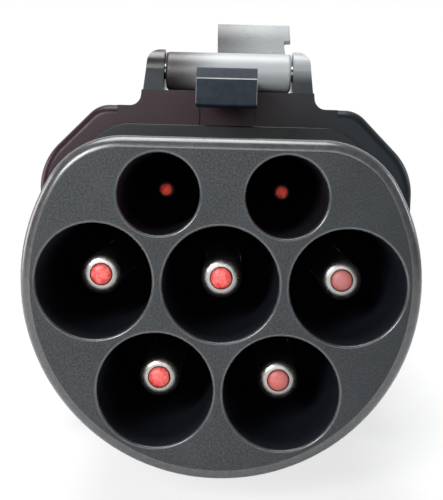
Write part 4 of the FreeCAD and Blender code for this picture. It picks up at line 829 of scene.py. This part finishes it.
def screw_form(length):
    """Pan head with a hexagon socket on a plain shank; the head's seat is at z = 0."""
    bm = bmesh.new()
    head = [(HEAD + growth, SCREW_HEAD - depth) for depth, growth in quarter_round(HEAD_EDGE, 4)]
    profile = head + [(HEAD, 0), (SCREW, 0), (SCREW, SHANK_BEVEL - length),
                      (SCREW - SHANK_BEVEL, -length), (0, -length)]
    faces = turn_profile(bm, (0, 0, 0), (0, 0, 1), profile, 48)
    rim = ring_edges(faces, (0, 0, 0), (0, 0, 1), head[0][0], SCREW_HEAD)
    hexagon = bmesh.ops.create_circle(bm, segments=6, radius=SOCKET, cap_ends=True)["verts"]
    bmesh.ops.translate(bm, vec=(0, 0, SCREW_HEAD), verts=hexagon)
    floor = next(face for face in bm.faces if all(vert in hexagon for vert in face.verts))
    mouth = list(floor.edges)
    fill(bm, rim + mouth, (0, 0, 1))
    sunk = bmesh.ops.extrude_discrete_faces(bm, faces=[floor])["faces"]
    bmesh.ops.translate(bm, vec=(0, 0, -SOCKET_DEPTH), verts=sunk[0].verts)
    return bm


def side_screws_form():
    """The four screws at the joint of the housings."""
    bm = bmesh.new()
    for way in (-1, 1):
        for rise in (-SIDE_SCREW_HIGH, SIDE_SCREW_HIGH):
            screw = screw_form(SIDE_SCREW)
            seat = Matrix.Translation((way * (SIDE - SCREW_HEAD), SIDE_SCREW_Y, AXIS + rise))
            screw.transform(seat @ Matrix.Rotation(way * math.pi / 2, 4, "Y"))
            mesh = bpy.data.meshes.new("screw")
            screw.to_mesh(mesh)
            screw.free()
            bm.from_mesh(mesh)
            bpy.data.meshes.remove(mesh)
    return bm


def hinge_pin_form():
    """Steel rod through both ears, bevelled at its ends."""
    half, end = EAR_OUTER, HINGE_ROD - ROD_BEVEL
    bm = bmesh.new()
    turn_profile(bm, (0, HINGE_Y, HINGE_Z), (1, 0, 0), [
        (0, -half), (end, -half), (HINGE_ROD, ROD_BEVEL - half),
        (HINGE_ROD, half - ROD_BEVEL), (end, half), (0, half)], 40)
    return bm


# Rear housing

def ring_form(outer, inner, start, stop):
    """A closed tube between two outlines."""
    bm = bmesh.new()
    rings = [trace(bm, start, outer), trace(bm, stop, outer),
             trace(bm, stop, inner), trace(bm, start, inner)]
    bridge(bm, rings + rings[:1])
    return bm


def shell_arcs(growth=0.0):
    """Outline of the shell round the inlet, grown by a size."""
    radius, flat, _ = INLET_D
    return d_shape(radius + GROOVE + SHELL_WALL + growth, flat + GROOVE + SHELL_WALL + growth,
                   SHELL_CORNER + growth)


def rear_housing_form():
    """Body and D shell, then groove, block opening, inside, tongue and screw bosses."""
    shell = stack([
        (SHELL_START, shell_arcs(-SHELL_BEVEL)), (SHELL_START + SHELL_BEVEL, shell_arcs())] + [
        (INLET_RIM - depth, shell_arcs(growth))
        for depth, growth in reversed(quarter_round(SHELL_RIM, 5))])
    below_floor = box((-50, 0, -20), (50, 100, 0))
    form = combined(shell, below_floor, "DIFFERENCE")
    back = INLET_RIM - SHELL_BEVEL
    body = stack([
        (REAR_START, housing_arcs(JOINT_BEVEL)), (REAR_START + JOINT_BEVEL, housing_arcs()),
        (back - BACK_BEVEL, housing_arcs()), (back, housing_arcs(BACK_BEVEL))])
    form = combined(form, body, "UNION")
    groove = prism(d_arcs(GROOVE, INLET_D), GROOVE_FLOOR, INLET_RIM + 1)
    form = combined(form, groove, "DIFFERENCE")
    opening = prism(d_arcs(FIT_GAP, INLET_D), SHELL_START - 1, GROOVE_FLOOR + 1)
    form = combined(form, opening, "DIFFERENCE")
    form = combined(form, prism(housing_arcs(WALL), REAR_START - 1, SHELL_START), "DIFFERENCE")
    inset = WALL + FIT_GAP
    tongue = ring_form(housing_arcs(inset), housing_arcs(inset + TONGUE_WALL),
                       JOINT - TONGUE, REAR_START + TONGUE_WALL)
    root = ring_form(housing_arcs(WALL - FIT_GAP), housing_arcs(inset + TONGUE_WALL),
                     REAR_START, REAR_START + TONGUE_WALL)
    tongue = combined(tongue, root, "UNION")
    face = SIDE - inset
    for way in (-1, 1):
        for rise in (-SIDE_SCREW_HIGH, SIDE_SCREW_HIGH):
            centre = (0, SIDE_SCREW_Y, AXIS + rise)
            boss = rod(centre, (way, 0, 0), BOSS, face - BOSS_LENGTH, face - TONGUE_WALL / 2)
            tongue = combined(tongue, boss, "UNION")
            hole = rod(centre, (way, 0, 0), PLATE_HOLE, face - BOSS_LENGTH - 1, face + 1)
            tongue = combined(tongue, hole, "DIFFERENCE")
    return combined(form, tongue, "UNION")


# The pieces

make_contacts()
make_piece("nose_housing", front_housing_form(), [nylon, ear_nylon], HOLDER,
           ["front_housing"])
make_piece("inlet_housing", rear_housing_form(), [nylon], HOLDER,
           ["rear_housing"])
make_piece("side_screws", side_screws_form(), [stainless], HOLDER, ["housing_screws"])
make_piece("hinge_rod", hinge_pin_form(), [stainless], HOLDER, ["hinge_pin"])
make_piece("release_lever", lever_form(), [acetal, acetal_painted_highlight, thumb_acetal], LEVER,
           ["latch_lever"])
coil = make_piece("release_spring", spring_form(), [stainless], HOLDER, ["latch_spring"])
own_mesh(coil)

# CAD nodes that keep their shape get their finish here.
finishes = {
    "housing_seal": silicone, "plug_gasket": silicone, "inlet_gasket": silicone,
    "spacer_tube": plate_nylon, "plug_pin_plate": plate_nylon, "inlet_pin_plate": plate_nylon,
    "coding_board": laminate, "coding_resistor": enamel,
    "plug_plate_screws": stainless, "inlet_plate_screws": stainless,
}
for spot in list(POWER_SPOTS) + list(SIGNAL_SPOTS):
    finishes["wire_" + spot] = insulation
for node, material in finishes.items():
    slots = bpy.data.objects[node].material_slots
    if len(slots) == 0:
        bpy.data.objects[node].data.materials.append(material)
    for slot in slots:
        slot.material = material


# Floor, light and camera

def floor_paper():
    """Matt pale paper; far from the object the camera sees it fade into the white backdrop."""
    material, tree, place, shader = surface("pale_floor_paper")
    shader.inputs["Base Color"].default_value = linear("#f4f4f4")
    shader.inputs["Roughness"].default_value = 0.9
    shader.inputs["Specular IOR Level"].default_value = 0.1
    away = add_node(tree, "ShaderNodeVectorMath", {0: place}, operation="LENGTH")
    far = add_node(tree, "ShaderNodeMapRange", {
        "Value": away.outputs["Value"], "From Min": 0.05, "From Max": 0.15, "To Min": 0.72},
        interpolation_type="SMOOTHSTEP")
    paths = add_node(tree, "ShaderNodeLightPath", {})
    blank = add_node(tree, "ShaderNodeMath", {
        0: far.outputs["Result"], 1: paths.outputs["Is Camera Ray"]}, operation="MULTIPLY")
    white = add_node(tree, "ShaderNodeEmission", {"Color": linear("#ffffff"), "Strength": 1.0})
    mixed = add_node(tree, "ShaderNodeMixShader", {
        0: blank.outputs["Value"], 1: shader.outputs["BSDF"], 2: white.outputs["Emission"]})
    tree.links.new(mixed.outputs["Shader"], tree.nodes["Material Output"].inputs["Surface"])
    return material


def add_lamp(name, spot, aim, width, height, power, colour="#ffffff"):
    """A rectangular soft lamp at a spot, aimed at a point, in millimetres."""
    light = bpy.data.lights.new(name, "AREA")
    light.shape, light.size, light.size_y = "RECTANGLE", width * MM, height * MM
    light.energy, light.color = power, linear(colour)[:3]
    lamp = bpy.data.objects.new(name, light)
    lamp.location = Vector(spot) * MM
    lamp.rotation_euler = (Vector(aim) - Vector(spot)).to_track_quat("-Z", "Y").to_euler()
    bpy.context.scene.collection.objects.link(lamp)


def add_floor():
    """The floor that the adapter lies on."""
    form = bmesh.new()
    bmesh.ops.create_grid(form, x_segments=1, y_segments=1, size=3.0)
    mesh = bpy.data.meshes.new("floor")
    form.to_mesh(mesh)
    form.free()
    floor = bpy.data.objects.new("floor", mesh)
    bpy.context.scene.collection.objects.link(floor)
    mesh.materials.append(floor_paper())


def add_world():
    """Dim air; the camera, and gloss that looks past the object, see the white backdrop."""
    world = bpy.data.worlds.new("studio")
    bpy.context.scene.world = world
    world.use_nodes = True
    air = world.node_tree
    air.nodes.clear()
    paths = add_node(air, "ShaderNodeLightPath", {})
    towards = add_node(air, "ShaderNodeTexCoord", {}).outputs["Generated"]
    parts = add_node(air, "ShaderNodeSeparateXYZ", {"Vector": towards})
    behind = add_node(air, "ShaderNodeMapRange", {
        "Value": parts.outputs["Y"], "From Min": -0.1, "From Max": 0.4},
        interpolation_type="SMOOTHSTEP")
    mirrored = add_node(air, "ShaderNodeMath", {
        0: behind.outputs["Result"], 1: paths.outputs["Is Glossy Ray"]}, operation="MULTIPLY")
    shown = add_node(air, "ShaderNodeMath", {
        0: mirrored.outputs["Value"], 1: paths.outputs["Is Camera Ray"]}, operation="MAXIMUM")
    white = add_node(air, "ShaderNodeBackground", {"Color": linear("#ffffff"), "Strength": 1.0})
    dim = add_node(air, "ShaderNodeBackground", {"Color": linear("#ffffff"), "Strength": 0.12})
    seen = add_node(air, "ShaderNodeMixShader", {
        0: shown.outputs["Value"], 1: dim.outputs["Background"], 2: white.outputs["Background"]})
    add_node(air, "ShaderNodeOutputWorld", {"Surface": seen.outputs["Shader"]})


def add_camera(spot, lens, yaw, pitch, roll):
    """The photograph's view, from a spot in millimetres and with its turns in degrees."""
    view = bpy.data.cameras.new("photo_view")
    view.lens, view.sensor_width, view.sensor_fit = lens, 36.0, "AUTO"
    view.clip_start = 0.01
    camera = bpy.data.objects.new("photo_view", view)
    yaw, pitch, roll = (math.radians(angle) for angle in (yaw, pitch, roll))
    forward = Vector((math.cos(pitch) * math.sin(yaw), math.cos(pitch) * math.cos(yaw),
                      -math.sin(pitch)))
    level = Vector((math.cos(yaw), -math.sin(yaw), 0))
    above = level.cross(forward)
    right = level * math.cos(roll) + above * math.sin(roll)
    over = above * math.cos(roll) - level * math.sin(roll)
    turn = Matrix((right, over, -forward)).transposed()
    camera.matrix_world = Matrix.Translation(Vector(spot) * MM) @ turn.to_4x4()
    bpy.context.scene.collection.objects.link(camera)
    bpy.context.scene.camera = camera


add_floor()
add_world()
add_lamp("overhead", (-80, -60, 620), (0, -20, 40), 400, 400, 5.4)
add_lamp("left_strip", (-560, 20, 150), (0, -40, 40), 260, 300, 2.0, "#ffeef2")
add_lamp("right_strip", (560, 40, 260), (0, -40, 40), 90, 260, 1.0, "#eef6ff")
add_lamp("near_left", (-150, -360, 160), (0, -60, 34), 110, 110, 1.2)
add_lamp("front_fill", (0, -900, 170), (0, -40, 36), 420, 240, 1.5)
add_camera((1.5, -200, 51.85), 67.75, -0.65, 5.87, 1.45)

bpy.context.scene.view_settings.view_transform = "Standard"
